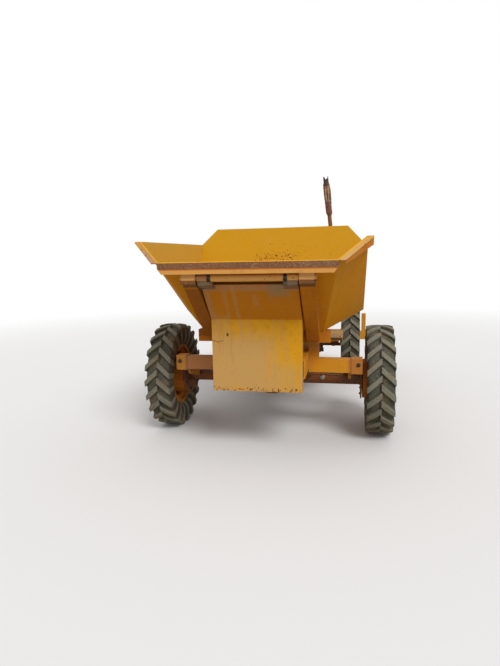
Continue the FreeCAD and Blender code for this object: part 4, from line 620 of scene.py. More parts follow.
    # pale weld paint, partly a painted highlight along the ribs' edges
    WELD = Enamel("weld_enamel_and_highlight", fresh=(222, 160, 66), faded=(206, 156, 96), dust=0.5, streaks=0.0)
    LIP = Iron("worn_lip", (156, 124, 98), (146, 100, 70), (92, 70, 54), 0.75, 0.1, 0.2, 0.5)
    SADDLE = Iron("saddle_iron", (134, 116, 92), (150, 108, 72), (84, 70, 54), 0.6, 0.2, 0.1, 0.6)
    AXLE = Iron("greasy_axle", (136, 92, 56), (156, 96, 54), (84, 54, 36), 0.6, 0.5, 0.1)
    CAST = Iron("cast_iron", (86, 84, 80), (102, 74, 54), (38, 35, 32), 0.35, 0.6, 0.35)
    DARK = Iron("dark_enamel", (48, 46, 44), (94, 62, 42), (30, 28, 26), 0.3, 0.2, 0.1, 0.5)
    STEEL = Iron("ground_steel", (176, 174, 168), (126, 92, 62), (70, 62, 54), 0.15, 0.15, 0.9, 0.25)
    GREASE = Iron("greasy_steel", (74, 64, 54), (104, 74, 50), (34, 28, 24), 0.4, 0.9, 0.4, 0.4)
    PLATE = TreadPlate("tread_plate")
    RUBBER = Tread("dusty_rubber")
    VINYL = Vinyl("seat_vinyl")
    PLASTIC = Moulded("black_plastic")
    EXHAUST = BurntSteel("burnt_steel")


# Shapes


def vector(axis: Axis | Point) -> np.ndarray:
    """A direction as an array."""
    return np.array(axis.value if isinstance(axis, Axis) else axis, float)


def cross_pair(axis: Axis | Point) -> tuple[np.ndarray, np.ndarray, np.ndarray]:
    """An axis made one long, and two directions square to it and to each other."""
    along = vector(axis) / np.linalg.norm(vector(axis))
    side = np.cross(vector(Axis.UP if abs(along[2]) < 0.9 else Axis.LEFT), along)
    side /= np.linalg.norm(side)
    return along, side, np.cross(along, side)


def turned(profile: Any, centre: Point, axis: Axis | Point, count: int = 40, start: float = 0.0) -> np.ndarray:
    """A profile turned about an axis: centre + along * axis + radius * (cos a, sin a) across it.

    Args:
        profile: Pairs of distance along the axis and radius.
        centre: A point on the axis.
        axis: Its direction.
        count: Columns round the axis.
        start: First angle.

    Returns:
        Grid of points, a row for each profile point.
    """
    along, side, other = cross_pair(axis)
    line = np.array(profile, float)
    angle = start + np.arange(count) * TURN / count
    ring = np.cos(angle)[:, None] * side + np.sin(angle)[:, None] * other
    return np.array(centre) + line[:, None, :1] * along + line[:, None, 1:] * ring


def carried(
    section: np.ndarray, path: np.ndarray, up: Axis | Point, scale: Any = 1.0, closed: bool = False
) -> np.ndarray:
    """A section carried along a path: each station is path + u * across + v * normal to it.

    Args:
        section: Pairs across and normal to the path.
        path: Points of the path.
        up: Rough direction of the section's second number.
        scale: Size of the section, one number or one for each station.
        closed: Whether the path comes back to its start.

    Returns:
        Grid of points, a row for each station.
    """
    ahead = np.roll(path, -1, 0) - np.roll(path, 1, 0) if closed else np.gradient(path, axis=0)
    ahead /= np.linalg.norm(ahead, axis=1, keepdims=True)
    across = np.cross(ahead, vector(up))
    across /= np.linalg.norm(across, axis=1, keepdims=True)
    normal = np.cross(across, ahead)
    size = np.broadcast_to(np.asarray(scale, float), (len(path),))[:, None, None]
    spread = section[None, :, :1] * across[:, None] + section[None, :, 1:] * normal[:, None]
    return path[:, None] + spread * size


def circle(radius: float, count: int = 12) -> np.ndarray:
    """A round section: radius * (cos a, sin a)."""
    angle = np.arange(count) * TURN / count
    return radius * np.stack([np.cos(angle), np.sin(angle)], 1)


def ring(centre: Point, first: Axis, radius: float, count: int, start: float = 0.0) -> np.ndarray:
    """Places round a centre: centre + radius * (cos a * first direction + sin a * up)."""
    angle = np.arange(count)[:, None] * TURN / count + start
    return np.array(centre) + radius * (np.cos(angle) * vector(first) + np.sin(angle) * vector(Axis.UP))


def eased(points: Any, count: int = 40) -> np.ndarray:
    """A smooth line by quadratic pieces: each middle point pulls it between its runs' middles.

    Args:
        points: Corners of the line, four or more.
        count: Points of the result.

    Returns:
        The line's points.
    """
    corner = np.array(points, float)
    middle = (corner[:-1] + corner[1:]) / 2
    knots = np.concatenate([corner[:1], middle[1:-1], corner[-1:]])
    pulls = corner[1:-1]
    spot = np.linspace(0, len(pulls) - 1e-9, count)
    piece = spot.astype(int)
    share = (spot - piece)[:, None]
    start, end = knots[piece], knots[piece + 1]
    return (1 - share) ** 2 * start + 2 * share * (1 - share) * pulls[piece] + share**2 * end


class Form:
    """Surfaces gathered into one mesh."""

    def __init__(self) -> None:
        """Starts empty."""
        self.points: list[np.ndarray] = []
        self.faces: list[list[int]] = []
        self.count = 0

    def sheet(self, grid: np.ndarray, around: bool = False, along: bool = False, ends: bool = False) -> Form:
        """Adds a grid of points as faces.

        Args:
            grid: Rows by columns of points.
            around: Join the last column to the first.
            along: Join the last row to the first.
            ends: Close the first and the last row with a fan round their middle.

        Returns:
            The form itself.
        """
        rows, columns = grid.shape[:2]
        index = np.arange(rows * columns).reshape(rows, columns) + self.count
        index = np.concatenate([index, index[:, :1]], 1) if around else index
        index = np.concatenate([index, index[:1]], 0) if along else index
        quads = np.stack([index[:-1, :-1], index[:-1, 1:], index[1:, 1:], index[1:, :-1]], -1)
        self.points.append(grid.reshape(-1, 3))
        self.faces += quads.reshape(-1, 4).tolist()
        self.count += rows * columns
        if ends:
            for row, loop in ((0, index[0]), (-1, index[-1][::-1])):
                hub = np.full(len(loop) - 1, self.count)
                self.points.append(grid[row].mean(0, keepdims=True))
                self.faces += np.stack([hub, loop[1:], loop[:-1]], 1).tolist()
                self.count += 1
        return self

    def lathe(self, profile: Any, centre: Point, axis: Axis | Point, count: int, start: float = 0.0) -> Form:
        """Adds a turned profile with closed ends."""
        return self.sheet(turned(profile, centre, axis, count, start), around=True, ends=True)

    def tube(self, section: np.ndarray, path: np.ndarray, up: Axis | Point, scale: Any = 1.0) -> Form:
        """Adds a carried section with closed ends."""
        return self.sheet(carried(section, path, up, scale), around=True, ends=True)

    def rod(self, start: Point, end: Point, radius: float, count: int = 16) -> Form:
        """Adds a round bar between two points."""
        axis = np.array(end, float) - np.array(start)
        length = float(np.linalg.norm(axis))
        edge = min(radius * 0.15, length * 0.2)
        profile = [(0, radius - edge), (edge, radius), (length - edge, radius), (length, radius - edge)]
        return self.lathe(profile, start, axis, count)

    def bead(self, start: Any, end: Any, up: Axis | Point, radius: float) -> Form:
        """Adds a weld bead: a round section along a line, its size rippled by a sine every 5 mm."""
        run = np.array(end) - np.array(start)
        length = float(np.linalg.norm(run))
        share = np.linspace(0, 1, max(8, round(length / 0.0025)))
        ripple = 1 + 0.16 * np.sin(share * length / 0.005 * TURN) + 0.12 * np.sin(share * length * 61)
        return self.tube(circle(radius, 7), np.array(start) + share[:, None] * run, up, ripple)

    def slab(self, outline: Any, low: float, high: float, edge: float = 0.0015) -> Form:
        """Adds a plate of a side-view outline from low to high along X, its ends drawn in by an edge."""
        corner = np.array(outline, float)
        middle = corner.mean(0)
        span = np.linalg.norm(corner - middle, axis=1, keepdims=True)
        drawn = middle + (corner - middle) * (1 - edge / span)
        rows = [(low, drawn), (low + edge, corner), (high - edge, corner), (high, drawn)]
        grid = np.stack([np.column_stack([np.full(len(line), x), line]) for x, line in rows])
        return self.sheet(grid, around=True, ends=True)

    def bolts(self, places: Any, axis: Axis | Point, across: float, washer: bool = True) -> Form:
        """Adds six-sided heads on washers, with a thread's end, at several places."""
        half = across / 2
        washed = np.array([(0, 1.45), (0.18, 1.42)]) * half
        head = np.array([(0.1, 1.1), (0.85, 1.13), (1.05, 0.92)]) * half
        tip = np.array([(1, 0.52), (1.35, 0.5)]) * half
        for n, place in enumerate(places):
            if washer:
                self.lathe(washed, place, axis, 18)
            self.lathe(head, place, axis, 6, n * 0.7).lathe(tip, place, axis, 10)
        return self

    def piece(self, name: str, smooth: float = 35.0, merged: bool = True) -> bpy.types.Object:
        """Makes the mesh's object, with edges sharper than an angle kept sharp.

        Args:
            name: The object's name.
            smooth: Largest angle in degrees that is shaded smooth.
            merged: Merge doubles and turn the faces outwards, where the grid doesn't do so by itself.

        Returns:
            The object, linked into the scene.
        """
        mesh = bpy.data.meshes.new(name)
        mesh.from_pydata(np.concatenate(self.points), [], self.faces)
        if merged:
            tidy = bmesh.new()
            tidy.from_mesh(mesh)
            bmesh.ops.remove_doubles(tidy, verts=tidy.verts, dist=1e-6)
            bmesh.ops.recalc_face_normals(tidy, faces=tidy.faces)
            tidy.to_mesh(mesh)
            tidy.free()
        mesh.polygons.foreach_set("use_smooth", np.ones(len(mesh.polygons), bool))
        mesh.set_sharp_from_angle(angle=math.radians(smooth))
        made = bpy.data.objects.new(name, mesh)
        bpy.context.scene.collection.objects.link(made)
        return made


@dataclass
class Machine:
    """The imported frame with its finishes, and what places new pieces on it."""

    nodes: dict[str, bpy.types.Object]
    coats: dict[Finish, bpy.types.Material]
    made: int = 0

    def dress(self, finish: Finish, *nodes: str) -> None:
        """Gives CAD nodes their finish."""
        for node in nodes:
            slots = self.nodes[node].data.materials
            slots.clear()
            slots.append(self.coats[finish])

    def add(
        self, form: Form | bpy.types.Object, name: str, body: str, slot: Slot, finish: Finish, smooth: float = 35.0
    ) -> bpy.types.Object:
        """Puts a new piece on a body with its finish.

        Args:
            form: Its surfaces, or an object that is made already.
            name: Its name.
            body: The CAD body it rides on.
            slot: The record's material slot; not used.
            finish: Its finish.
            smooth: Largest angle in degrees that is shaded smooth.

        Returns:
            The object.
        """
        made = form.piece(name, smooth) if isinstance(form, Form) else form
        made.data.materials.clear()
        made.data.materials.append(self.coats[finish])
        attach(made, body)
        self.made += 1
        log.info("%s rides on %s: %d faces", name, body, len(made.data.polygons))
        return made


# Sub-assemblies


@dataclass(frozen=True)
class Tyre:
    """A block-tread tyre with two staggered rows of slanted bars."""

    centre: Point
    bars: int = 21
    sweep: float = math.radians(12.5)
    top: float = 0.3775
    crown: float = 0.3565
    foot: float = 0.025
    head: float = 0.018
    overlap: float = 0.0085
    inner_end: float = 0.005
    bead: float = 0.204
    shoulder: tuple[float, float] = (0.0891, 0.3685)
    # Distance from the middle and radius of the casing; entry 5 is the tread's edge, 8 the bars' outer end.
    wall: tuple[tuple[float, float], ...] = (
        (0.0, 0.3565), (0.02, 0.3563), (0.045, 0.3548), (0.066, 0.3515), (0.078, 0.345), (0.0852, 0.333),
        (0.0878, 0.318), (0.089, 0.302), (0.0896, 0.289), (0.0897, 0.28), (0.0878, 0.274), (0.0862, 0.265),
        (0.0818, 0.248), (0.0745, 0.235), (0.0668, 0.2262), (0.062, 0.2226), (0.059, 0.219),
        (0.0567, 0.212), (0.0564, 0.2052),
    )  # fmt: skip

    def _across(self) -> tuple[np.ndarray, np.ndarray, np.ndarray, np.ndarray]:
        """Stations from the middle to the bead: distance and radius of the casing, then of the bars' outside."""
        wall = np.array(self.wall)
        reach = np.concatenate([[0], np.cumsum(np.hypot(*np.diff(wall, axis=0).T))])
        fine = np.unique(np.concatenate([reach, np.linspace(0, reach[4], 14), np.linspace(reach[4], reach[8], 12)]))
        out, low = np.interp(fine, reach, wall[:, 0]), np.interp(fine, reach, wall[:, 1])
        edge_x, edge_r = self.shoulder
        over = np.clip(fine / reach[5], 0, 1)
        crest = self.top - (self.top - edge_r) * over**3
        down = np.clip((fine - reach[5]) / (reach[8] - reach[5]), 0, 1)
        bar_r = np.where(down > 0, edge_r + (wall[8, 1] - edge_r) * down, crest)
        past = fine >= reach[8]
        return out, low, np.where(past, out, np.minimum(over * edge_x, edge_x)), np.where(past, low, bar_r)

    def _around(self) -> np.ndarray:
        """Angles of the columns: close together at each bar's flanks, wide in the gaps, each half pitch."""
        half = TURN / self.bars / 2
        flank = np.array([0.35, 0.72, 0.81, 0.91, 1.0])
        near = np.concatenate([-flank[::-1], [0.0], flank]) * self.foot / self.crown
        gap = np.linspace(near[-1], half + near[0], 3)[1:-1]
        return (np.arange(2 * self.bars)[:, None] * half + np.concatenate([near, gap])).ravel()

    def build(self, name: str) -> bpy.types.Object:
        """Builds the tyre on a grid of stations across by angles around.

        Each point lies between the casing and the bars' outside by a rise: 1 on a bar's top,
        0 between bars. The angle shifts with the distance from the middle, so that columns
        follow the slanted bars.

        Args:
            name: The object's name.

        Returns:
            The tyre, with the rise kept as an attribute.
        """
        line = self._across()
        count = len(line[0])
        side = np.concatenate([-np.ones(count - 1), np.ones(count)])
        pick = np.concatenate([np.arange(count - 1, 0, -1), np.arange(count)])
        out, low, bar_x, bar_r = (values[pick] for values in line)
        angle = self._around()
        pitch = TURN / self.bars

        def rise(row: int, way: np.ndarray) -> np.ndarray:
            """Rise of one row of bars: flat top, sloping flanks and a rounded inner end."""
            away = np.abs((angle - row * pitch / 2 + pitch / 2) % pitch - pitch / 2) * self.crown
            flank = np.clip((self.foot - away) / (self.foot - self.head), 0, 1)
            reach = np.clip((way * out + self.overlap) / self.inner_end, 0, 1)
            return (flank * flank * (3 - 2 * flank))[None, :] * reach[:, None]

        lift = np.maximum(rise(0, side), rise(1, -side))
        share = np.clip(bar_x / self.shoulder[0], 0, 1)
        turn = self.head / self.top + 0.06 * self.sweep + angle[None, :] + self.sweep * share[:, None]
        across = side[:, None] * (out[:, None] + (bar_x - out)[:, None] * lift)
        radius = low[:, None] + (bar_r - low)[:, None] * lift
        ripple = 0.0007 * np.sin(9 * turn) * np.cos(61 * turn + 3 * side[:, None])
        radius = radius + np.where(lift > 0.9, ripple - 0.0008, 0)
        grid = np.stack([across, radius * np.cos(turn), radius * np.sin(turn)], -1)
        last = turn[[-1, 0]]
        bead = np.stack([across[[-1, 0]], self.bead * np.cos(last), self.bead * np.sin(last)], -1)
        whole = np.concatenate([grid, bead]) + np.array(self.centre)
        made = Form().sheet(whole, around=True, along=True).piece(name, 42.0, merged=False)
        marks = np.concatenate([lift, np.zeros((2, len(angle)))]).ravel().astype(np.float32)
        made.data.attributes.new("bar_height", "FLOAT", "POINT").data.foreach_set("value", marks)
        return made


@dataclass
class Wheel:
    """A tyre with its rim's nuts, hub cap and valve."""

    tag: str
    centre: Point
    side: int
    nut_circle: float = 0.088
    disc_out: float = 0.024
    cap_out: float = 0.050
    cap_circle: float = 0.034

    def build(self, machine: Machine) -> None:
        """Dresses the rim and adds tyre, wheel nuts, hub cap bolts and valve."""
        x, y, z = self.centre
        body = "wheel_" + self.tag
        machine.dress(Finish.RIM, "rim_" + self.tag)
        tyre = Tyre(self.centre).build("tread_" + self.tag)
        machine.add(tyre, tyre.name, body, Slot.RUBBER, Finish.RUBBER)
        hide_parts("tyre_" + self.tag)
        axis = (float(self.side), 0.0, 0.0)
        face, cap = x + self.side * self.disc_out, x + self.side * self.cap_out
        form = Form().bolts(ring((face, y, z), Axis.REAR, self.nut_circle, 6, 0.3), axis, 0.022)
        hub = ring((cap - self.side * 0.001, y, z), Axis.REAR, self.cap_circle, 5)
        form.bolts(hub, axis, 0.010, washer=False)
        form.lathe([(-0.002, 0.017), (0.004, 0.017), (0.009, 0.013), (0.011, 0.006)], (cap, y, z), axis, 24)
        machine.add(form, "nuts_" + self.tag, body, Slot.WORN, Finish.GREASE)
        valve = Form().rod((face, y + 0.10, z + 0.11), (face + self.side * 0.026, y + 0.112, z + 0.123), 0.004, 10)
        machine.add(valve, "valve_" + self.tag, body, Slot.RUBBER, Finish.PLASTIC)


@dataclass
class Skip:
    """The tipping skip: folded sheet, lip and pivot gear."""

    pivot: Point = (0.0, -1.498, 1.128)
    collar_x: float = 0.210
    tube_radius: float = 0.019
    collar_wall: float = 0.0045
    pin_x: float = 0.3695
    pin_half: float = 0.027
    saddle_x: float = 0.2365
    saddle_half: float = 0.0395
    leg_wall: float = 0.005

    def build(self, machine: Machine) -> None:
        """Dresses the skip and adds collars, grease nipples, the shaft's pins and its saddles."""
        machine.dress(Finish.SKIP, "skip_tub")
        machine.dress(Finish.FLANGE, "skip_rim_flange")
        machine.dress(Finish.CHANNEL, "skip_lip_channel")
        machine.dress(Finish.UNDERFRAME, "skip_underframe", "pivot_shaft")
        machine.dress(Finish.LIP, "skip_lip_bar")
        self._seams(machine)
        self._leg(machine)
        _, y, z = self.pivot
        collars, nipples, pins, saddles = Form(), Form(), Form(), Form()
        bore, wide = self.tube_radius, self.tube_radius + self.collar_wall
        band = [(-0.01, bore), (-0.01, wide - 0.001), (-0.009, wide), (0.009, wide), (0.01, wide - 0.001), (0.01, bore)]
        stem = [(0, 0.005), (0.004, 0.005), (0.005, 0.003), (0.01, 0.0028), (0.012, 0.004), (0.014, 0.0022)]
        under = [(-1.43, 1.064), (-1.454, 1.066), (-1.504, 1.09), (-1.511, 1.112), (-1.47, 1.112), (-1.446, 1.088)]
        for side in SIDES:
            x, pin, saddle = side * self.collar_x, side * self.pin_x, side * self.saddle_x
            collars.sheet(turned(band, (x, y, z), Axis.LEFT, 40), around=True, along=True)
            nipples.lathe(stem, (x, y, z + wide - 0.001), Axis.UP, 12)
            pins.rod((pin, y, z - self.pin_half), (pin, y, z + self.pin_half), 0.0025, 8)
            saddles.slab(under, saddle - self.saddle_half, saddle + self.saddle_half)
        # the collars' dark greasy finish is partly painted shade, standing for the shadow gaps at the tubes' ends
        machine.add(collars, "pivot_collars_and_shade_gaps", "chassis", Slot.WORN, Finish.GREASE)
        machine.add(nipples, "pivot_nipples", "chassis", Slot.BRIGHT, Finish.STEEL)
        machine.add(pins, "pivot_pins", "skip", Slot.BRIGHT, Finish.STEEL)
        machine.add(saddles, "pivot_saddles", "chassis", Slot.CAST, Finish.SADDLE)

    def _seams(self, machine: Machine) -> None:
        """Lays weld beads where the ribs and the rim bars meet the tub's sheet; their pale paint is partly a painted
        highlight along the ribs' edges.
        """
        beads = Form()
        for x in (0.284, 0.364):
            for side in SIDES:
                beads.bead((side * x, -1.455, 1.135), (side * x, -1.035, 0.778), Axis.FRONT, 0.003)
        for side in SIDES:
            rib, rim = side * 0.39, side * 0.6395
            beads.bead((rib, -1.029, 0.7735), (rib, -0.489, 0.7735), Axis.DOWN, 0.0025)
            beads.bead((rim, -1.38, 1.332), (rim, -0.15, 1.332), (side, 0.0, 0.0), 0.0022)
        machine.add(beads, "skip_seams_and_highlights", "skip", Slot.YELLOW, Finish.WELD)

    def _leg(self, machine: Machine) -> None:
        """Hangs the rim's outer leg at the viewer's right: a thin strip, deeper at the corner."""
        line = ((0.5235, -1.5435, 1.2115), (0.667, -1.4165, 1.328), (0.667, -1.385, 1.332), (0.667, -0.17, 1.332))
        inward = ((-0.665, 0.749, 0.0), (-0.95, 0.42, 0.0), (-1.0, 0.0, 0.0), (-1.0, 0.0, 0.0))
        top, across = np.array(line), np.array(inward) * self.leg_wall
        fall = np.outer((0.018, 0.037, 0.038, 0.034), Axis.DOWN.value)
        strip = np.stack([top, top + across, top + across + fall, top + fall], 1)
        form = Form().sheet(strip, around=True, ends=True)
        machine.add(form, "skip_rim_leg", "skip", Slot.YELLOW, Finish.RIM)


@dataclass
class FrontEnd:
    """Apron, stand, outriggers and drive axle."""

    block: Point = (0.606, -0.918, 0.532)
    axle: Point = (0.624, -0.640, 0.3775)
    plate_circle: float = 0.108
    cover_circle: float = 0.104
    cover_front: float = 0.064

    def build(self, machine: Machine) -> None:
        """Dresses the front end and adds its bolts, plugs and brake pipe."""
        machine.dress(Finish.APRON, "front_apron")
        machine.dress(Finish.STAND, "front_stand")
        machine.dress(Finish.OUTRIGGER, "front_outriggers")
        machine.dress(Finish.AXLE, "drive_axle")
        (block_x, block_y, block_z), (plate_x, y, z) = self.block, self.axle
        bolts = Form()
        for side in SIDES:
            bolts.bolts([(side * block_x, block_y, block_z)], Axis.FRONT, 0.019)
            plate = ring((side * plate_x, y, z), Axis.REAR, self.plate_circle, 6, 0.4)
            bolts.bolts(plate, (-side, 0.0, 0.0), 0.014, washer=False)
        machine.add(bolts, "front_bolts", "chassis", Slot.WORN, Finish.GREASE)
        profile = [(0.0, 0.017), (0.008, 0.017), (0.011, 0.012), (0.012, 0.004)]
        plug = Form().lathe(profile, (0.365, y - 0.043, 0.386), Axis.FRONT, 24)
        machine.add(plug, "axle_plug", "chassis", Slot.BRIGHT, Finish.STEEL)
        heads = ring((0.0, y - self.cover_front, z), Axis.LEFT, self.cover_circle, 10)
        cover = Form().bolts(heads, Axis.FRONT, 0.013, washer=False)
        half = [(0.52, -0.69, 0.41), (0.4, -0.693, 0.425), (0.16, -0.7, 0.428)]
        pipe = [(-across, *rest) for across, *rest in half] + [(0.0, -0.7, 0.51)] + half[::-1]
        cover.tube(circle(0.0032, 8), eased(pipe, 60), Axis.FRONT)
        machine.add(cover, "axle_fittings", "chassis", Slot.WORN, Finish.GREASE)


@dataclass
class Running:
    """Chassis rails, engine, gearbox, rear axle, steering linkage and ram."""

    def build(self, machine: Machine) -> None:
        """Dresses the running gear."""
        machine.dress(Finish.FRAME, "chassis_frame", "rear_bumper")
        machine.dress(Finish.CAST, "gearbox", "engine_block")
        machine.dress(Finish.AXLE, "rear_axle", "knuckle_left", "knuckle_right", "drop_arm")
        machine.dress(Finish.DARK, "track_rod", "drag_link", "fuel_tank", "rear_grille", "steering_column", "controls")
        machine.dress(Finish.DARK, "ram_barrel")
        machine.dress(Finish.STEEL, "ram_sleeve", "ram_rod")


@dataclass
class Bodywork:
    """Platform, seat base, engine cowl, hood and mudguards."""

    handle: Point = (0.07, 1.36, 1.0)
    tank_cap: Point = (-0.360, 0.200, 0.546)
    latch_x: float = 0.330
    latch_y: float = 1.2

    def build(self, machine: Machine) -> None:
        """Dresses the bodywork and adds the hood's handle, the tank's cap, fixing bolts and latches."""
        machine.dress(Finish.PLATE, "driver_platform")
        machine.dress(Finish.PANEL, "seat_base", "engine_cowl", "hood_lid", "mudguards")
        x, y, z = self.handle
        arch = eased([(-x, y, z), (-x, y, z + 0.03), (0.0, y, z + 0.034), (x, y, z + 0.03), (x, y, z)], 30)
        handle = Form().tube(circle(0.005, 12), arch, Axis.REAR)
        machine.add(handle, "hood_handle", "hood", Slot.DARK, Finish.DARK)
        rib = [(0.0, 0.03), (0.012, 0.03), (0.014, 0.036), (0.026, 0.036), (0.03, 0.032), (0.031, 0.006)]
        cap = Form().lathe(rib, self.tank_cap, Axis.UP, 36)
        machine.add(cap, "tank_cap", "chassis", Slot.DARK, Finish.DARK)
        self._fixings(machine)
        self._latches(machine)

    def _fixings(self, machine: Machine) -> None:
        """Bolts the mudguards to their brackets, the foot plates to theirs and the grille to the cowl."""
        bolts = Form()
        for side in SIDES:
            bolts.bolts([(side * 0.392, y, 0.836) for y in (0.893, 1.192)], Axis.UP, 0.013)
            corners = [(side * x, y, 0.552) for x in (0.305, 0.470) for y in (0.060, 0.490)]
            bolts.bolts(corners, Axis.UP, 0.011)
        low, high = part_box("rear_grille")
        inset = 0.009
        for x in (low[0] + inset, high[0] - inset):
            bolts.bolts([(x, high[1], z) for z in (low[2] + inset, high[2] - inset)], Axis.REAR, 0.009)
        machine.add(bolts, "body_bolts", "chassis", Slot.WORN, Finish.GREASE)

    def _latches(self, machine: Machine) -> None:
        """Puts a lever latch on each side of the cowl, its hook against the hood's skirt."""
        latches = Form()
        y = self.latch_y
        base = [(1.18, 0.858), (1.22, 0.858), (1.224, 0.866), (1.216, 0.912), (1.184, 0.912), (1.176, 0.866)]
        for side in SIDES:
            face = side * self.latch_x
            latches.slab(base, min(face, face + side * 0.005), max(face, face + side * 0.005), 0.001)
            hook = ((0.006, 0.864), (0.016, 0.88), (0.01, 0.905), (0.012, 0.926))
            lever = eased([(face + side * out, y, z) for out, z in hook], 24)
            latches.tube(circle(1.0, 10) * np.array((0.0065, 0.0022)), lever, (float(side), 0.0, 0.0))
            pin = face + side * 0.008
            latches.rod((pin, y - 0.018, 0.868), (pin, y + 0.018, 0.868), 0.003, 10)
        machine.add(latches, "cowl_latches", "chassis", Slot.BRIGHT, Finish.STEEL)


@dataclass
class Steering:
    """Steering wheel with a moulded rim, three spokes and a hub boss."""

    centre: Point = (0.0, 0.140, 1.150)
    axis: Point = (0.0, 0.3375, 0.9413)
    rim: float = 0.190
    tube: float = 0.013
    waves: int = 36
    spokes: int = 3

    def build(self, machine: Machine) -> None:
        """Builds the wheel: a ring with finger waves inside, curved spokes and a domed boss."""
        along, side, other = cross_pair(self.axis)
        turn = np.arange(144) * TURN / 144
        out = (np.cos(turn)[:, None] * side + np.sin(turn)[:, None] * other)[:, None]
        grip = np.arange(16) * TURN / 16
        inward = np.clip(-np.cos(grip), 0, 1)
        size = self.tube * (0.96 - 0.07 * inward[None, :] * (0.5 + 0.5 * np.cos(turn * self.waves))[:, None])
        section = np.cos(grip)[None, :, None] * out + np.sin(grip)[None, :, None] * along
        rim = np.array(self.centre) + out * self.rim + size[..., None] * section
        form = Form().sheet(rim, around=True, along=True)
        flat = np.stack([1.5 * np.cos(grip), 0.45 * np.sin(grip)], 1) * 0.009
        run = np.linspace(0.018, self.rim - 0.006, 20)[:, None]
        sag = -0.020 * (1 - np.clip(run / self.rim, 0, 1) ** 1.5)
        for spoke in range(self.spokes):
            angle = math.pi / 2 + spoke * TURN / self.spokes
            ray = math.cos(angle) * side + math.sin(angle) * other
            form.tube(flat, np.array(self.centre) + run * ray + sag * along, tuple(along))
        boss = [(-0.045, 0.022), (-0.025, 0.026), (-0.01, 0.029), (0.004, 0.028), (0.01, 0.02), (0.012, 0.006)]
        form.lathe(boss, self.centre, self.axis, 40)
        made = machine.add(form, "steering_wheel_rim", "steering_wheel", Slot.PLASTIC, Finish.PLASTIC)
        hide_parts("steering_wheel")


@dataclass
class Pad:
    """A stuffed seat pad, blown up by a short cloth run."""

    name: str
    node: str
    shrink: Point
    power: float = 0.35
    travel: float = 0.009
    voxel: float = 0.006
    frames: int = 20
    cord: float = 0.0035
    cord_inset: float = 0.0065

    def _soft(self, value: np.ndarray) -> np.ndarray:
        """A power that keeps the sign."""
        return np.sign(value) * np.abs(value) ** self.power

    def _start(self) -> bpy.types.Object:
        """A rounded block: each axis is half its size times a signed power of a sphere's own."""
        low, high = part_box(self.node)
        up = np.linspace(-math.pi / 2, math.pi / 2, 41)[:, None]
        turn = (np.arange(80) * TURN / 80)[None, :]
        level, height = self._soft(np.cos(up)), self._soft(np.sin(up)) + 0 * turn
        ball = np.stack([level * self._soft(np.cos(turn)), level * self._soft(np.sin(turn)), height], -1)
        size = np.array((high - low) / 2) - np.array(self.shrink)
        return Form().sheet(ball * size + np.array((low + high) / 2), around=True).piece(self.name, 180.0)

    def build(self, machine: Machine) -> bpy.types.Object:
        """Remeshes the block, fills it by pressure, limits its travel and subdivides it once.

        Args:
            machine: Where it goes.

        Returns:
            The pad.
        """
        made = self._start()
        bpy.context.view_layer.objects.active = made
        remesh = made.modifiers.new("even", "REMESH")
        remesh.mode, remesh.voxel_size, remesh.use_smooth_shade = "VOXEL", self.voxel, True
        self._apply(made)
        before = self._places(made)
        cloth = made.modifiers.new("stuffing", "CLOTH").settings
        cloth.use_pressure = True
        cloth.uniform_pressure_force = 4.0
        cloth.effector_weights.gravity = 0.0
        cloth.tension_stiffness = 30
        for frame in range(1, self.frames + 1):
            bpy.context.scene.frame_set(frame)
        self._apply(made)
        bpy.context.scene.frame_set(1)
        move = self._places(made) - before
        length = np.linalg.norm(move, axis=1, keepdims=True)
        move *= np.minimum(1, self.travel / np.maximum(length, 1e-9))
        made.data.vertices.foreach_set("co", (before + move).ravel())
        detail = made.modifiers.new("round", "SUBSURF")
        detail.levels = detail.render_levels = 1
        machine.add(made, self.name, "chassis", Slot.VINYL, Finish.VINYL)
        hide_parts(self.node)
        self._piping(machine)
        return made

    def _piping(self, machine: Machine) -> None:
        """Sews a round cord along the pad's seam, a rounded rectangle square to the pad's thin way."""
        low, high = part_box(self.node)
        middle, half = (np.array(low) + high) / 2, (np.array(high) - low) / 2
        thin = int(np.argmin(half))
        turn = np.arange(160) * TURN / 160
        path = np.tile(middle, (160, 1))
        for axis, wave in zip((k for k in range(3) if k != thin), (np.cos(turn), np.sin(turn))):
            path[:, axis] += (half[axis] - self.cord_inset) * self._soft(wave)
        grid = carried(circle(self.cord, 8), path, tuple(np.eye(3)[thin]), closed=True)
        cord = Form().sheet(grid, around=True, along=True)
        machine.add(cord, self.name + "_piping", "chassis", Slot.VINYL, Finish.PLASTIC, 60.0)

    @staticmethod
    def _places(made: bpy.types.Object) -> np.ndarray:
        """Where the mesh's points are."""
        found = np.zeros(len(made.data.vertices) * 3, np.float32)
        made.data.vertices.foreach_get("co", found)
        return found.reshape(-1, 3)

    @staticmethod
    def _apply(made: bpy.types.Object) -> None:
        """Makes the modified shape the mesh itself."""
        graph = bpy.context.evaluated_depsgraph_get()
        shape = bpy.data.meshes.new_from_object(made.evaluated_get(graph))
        made.modifiers.clear()
        made.data = shape


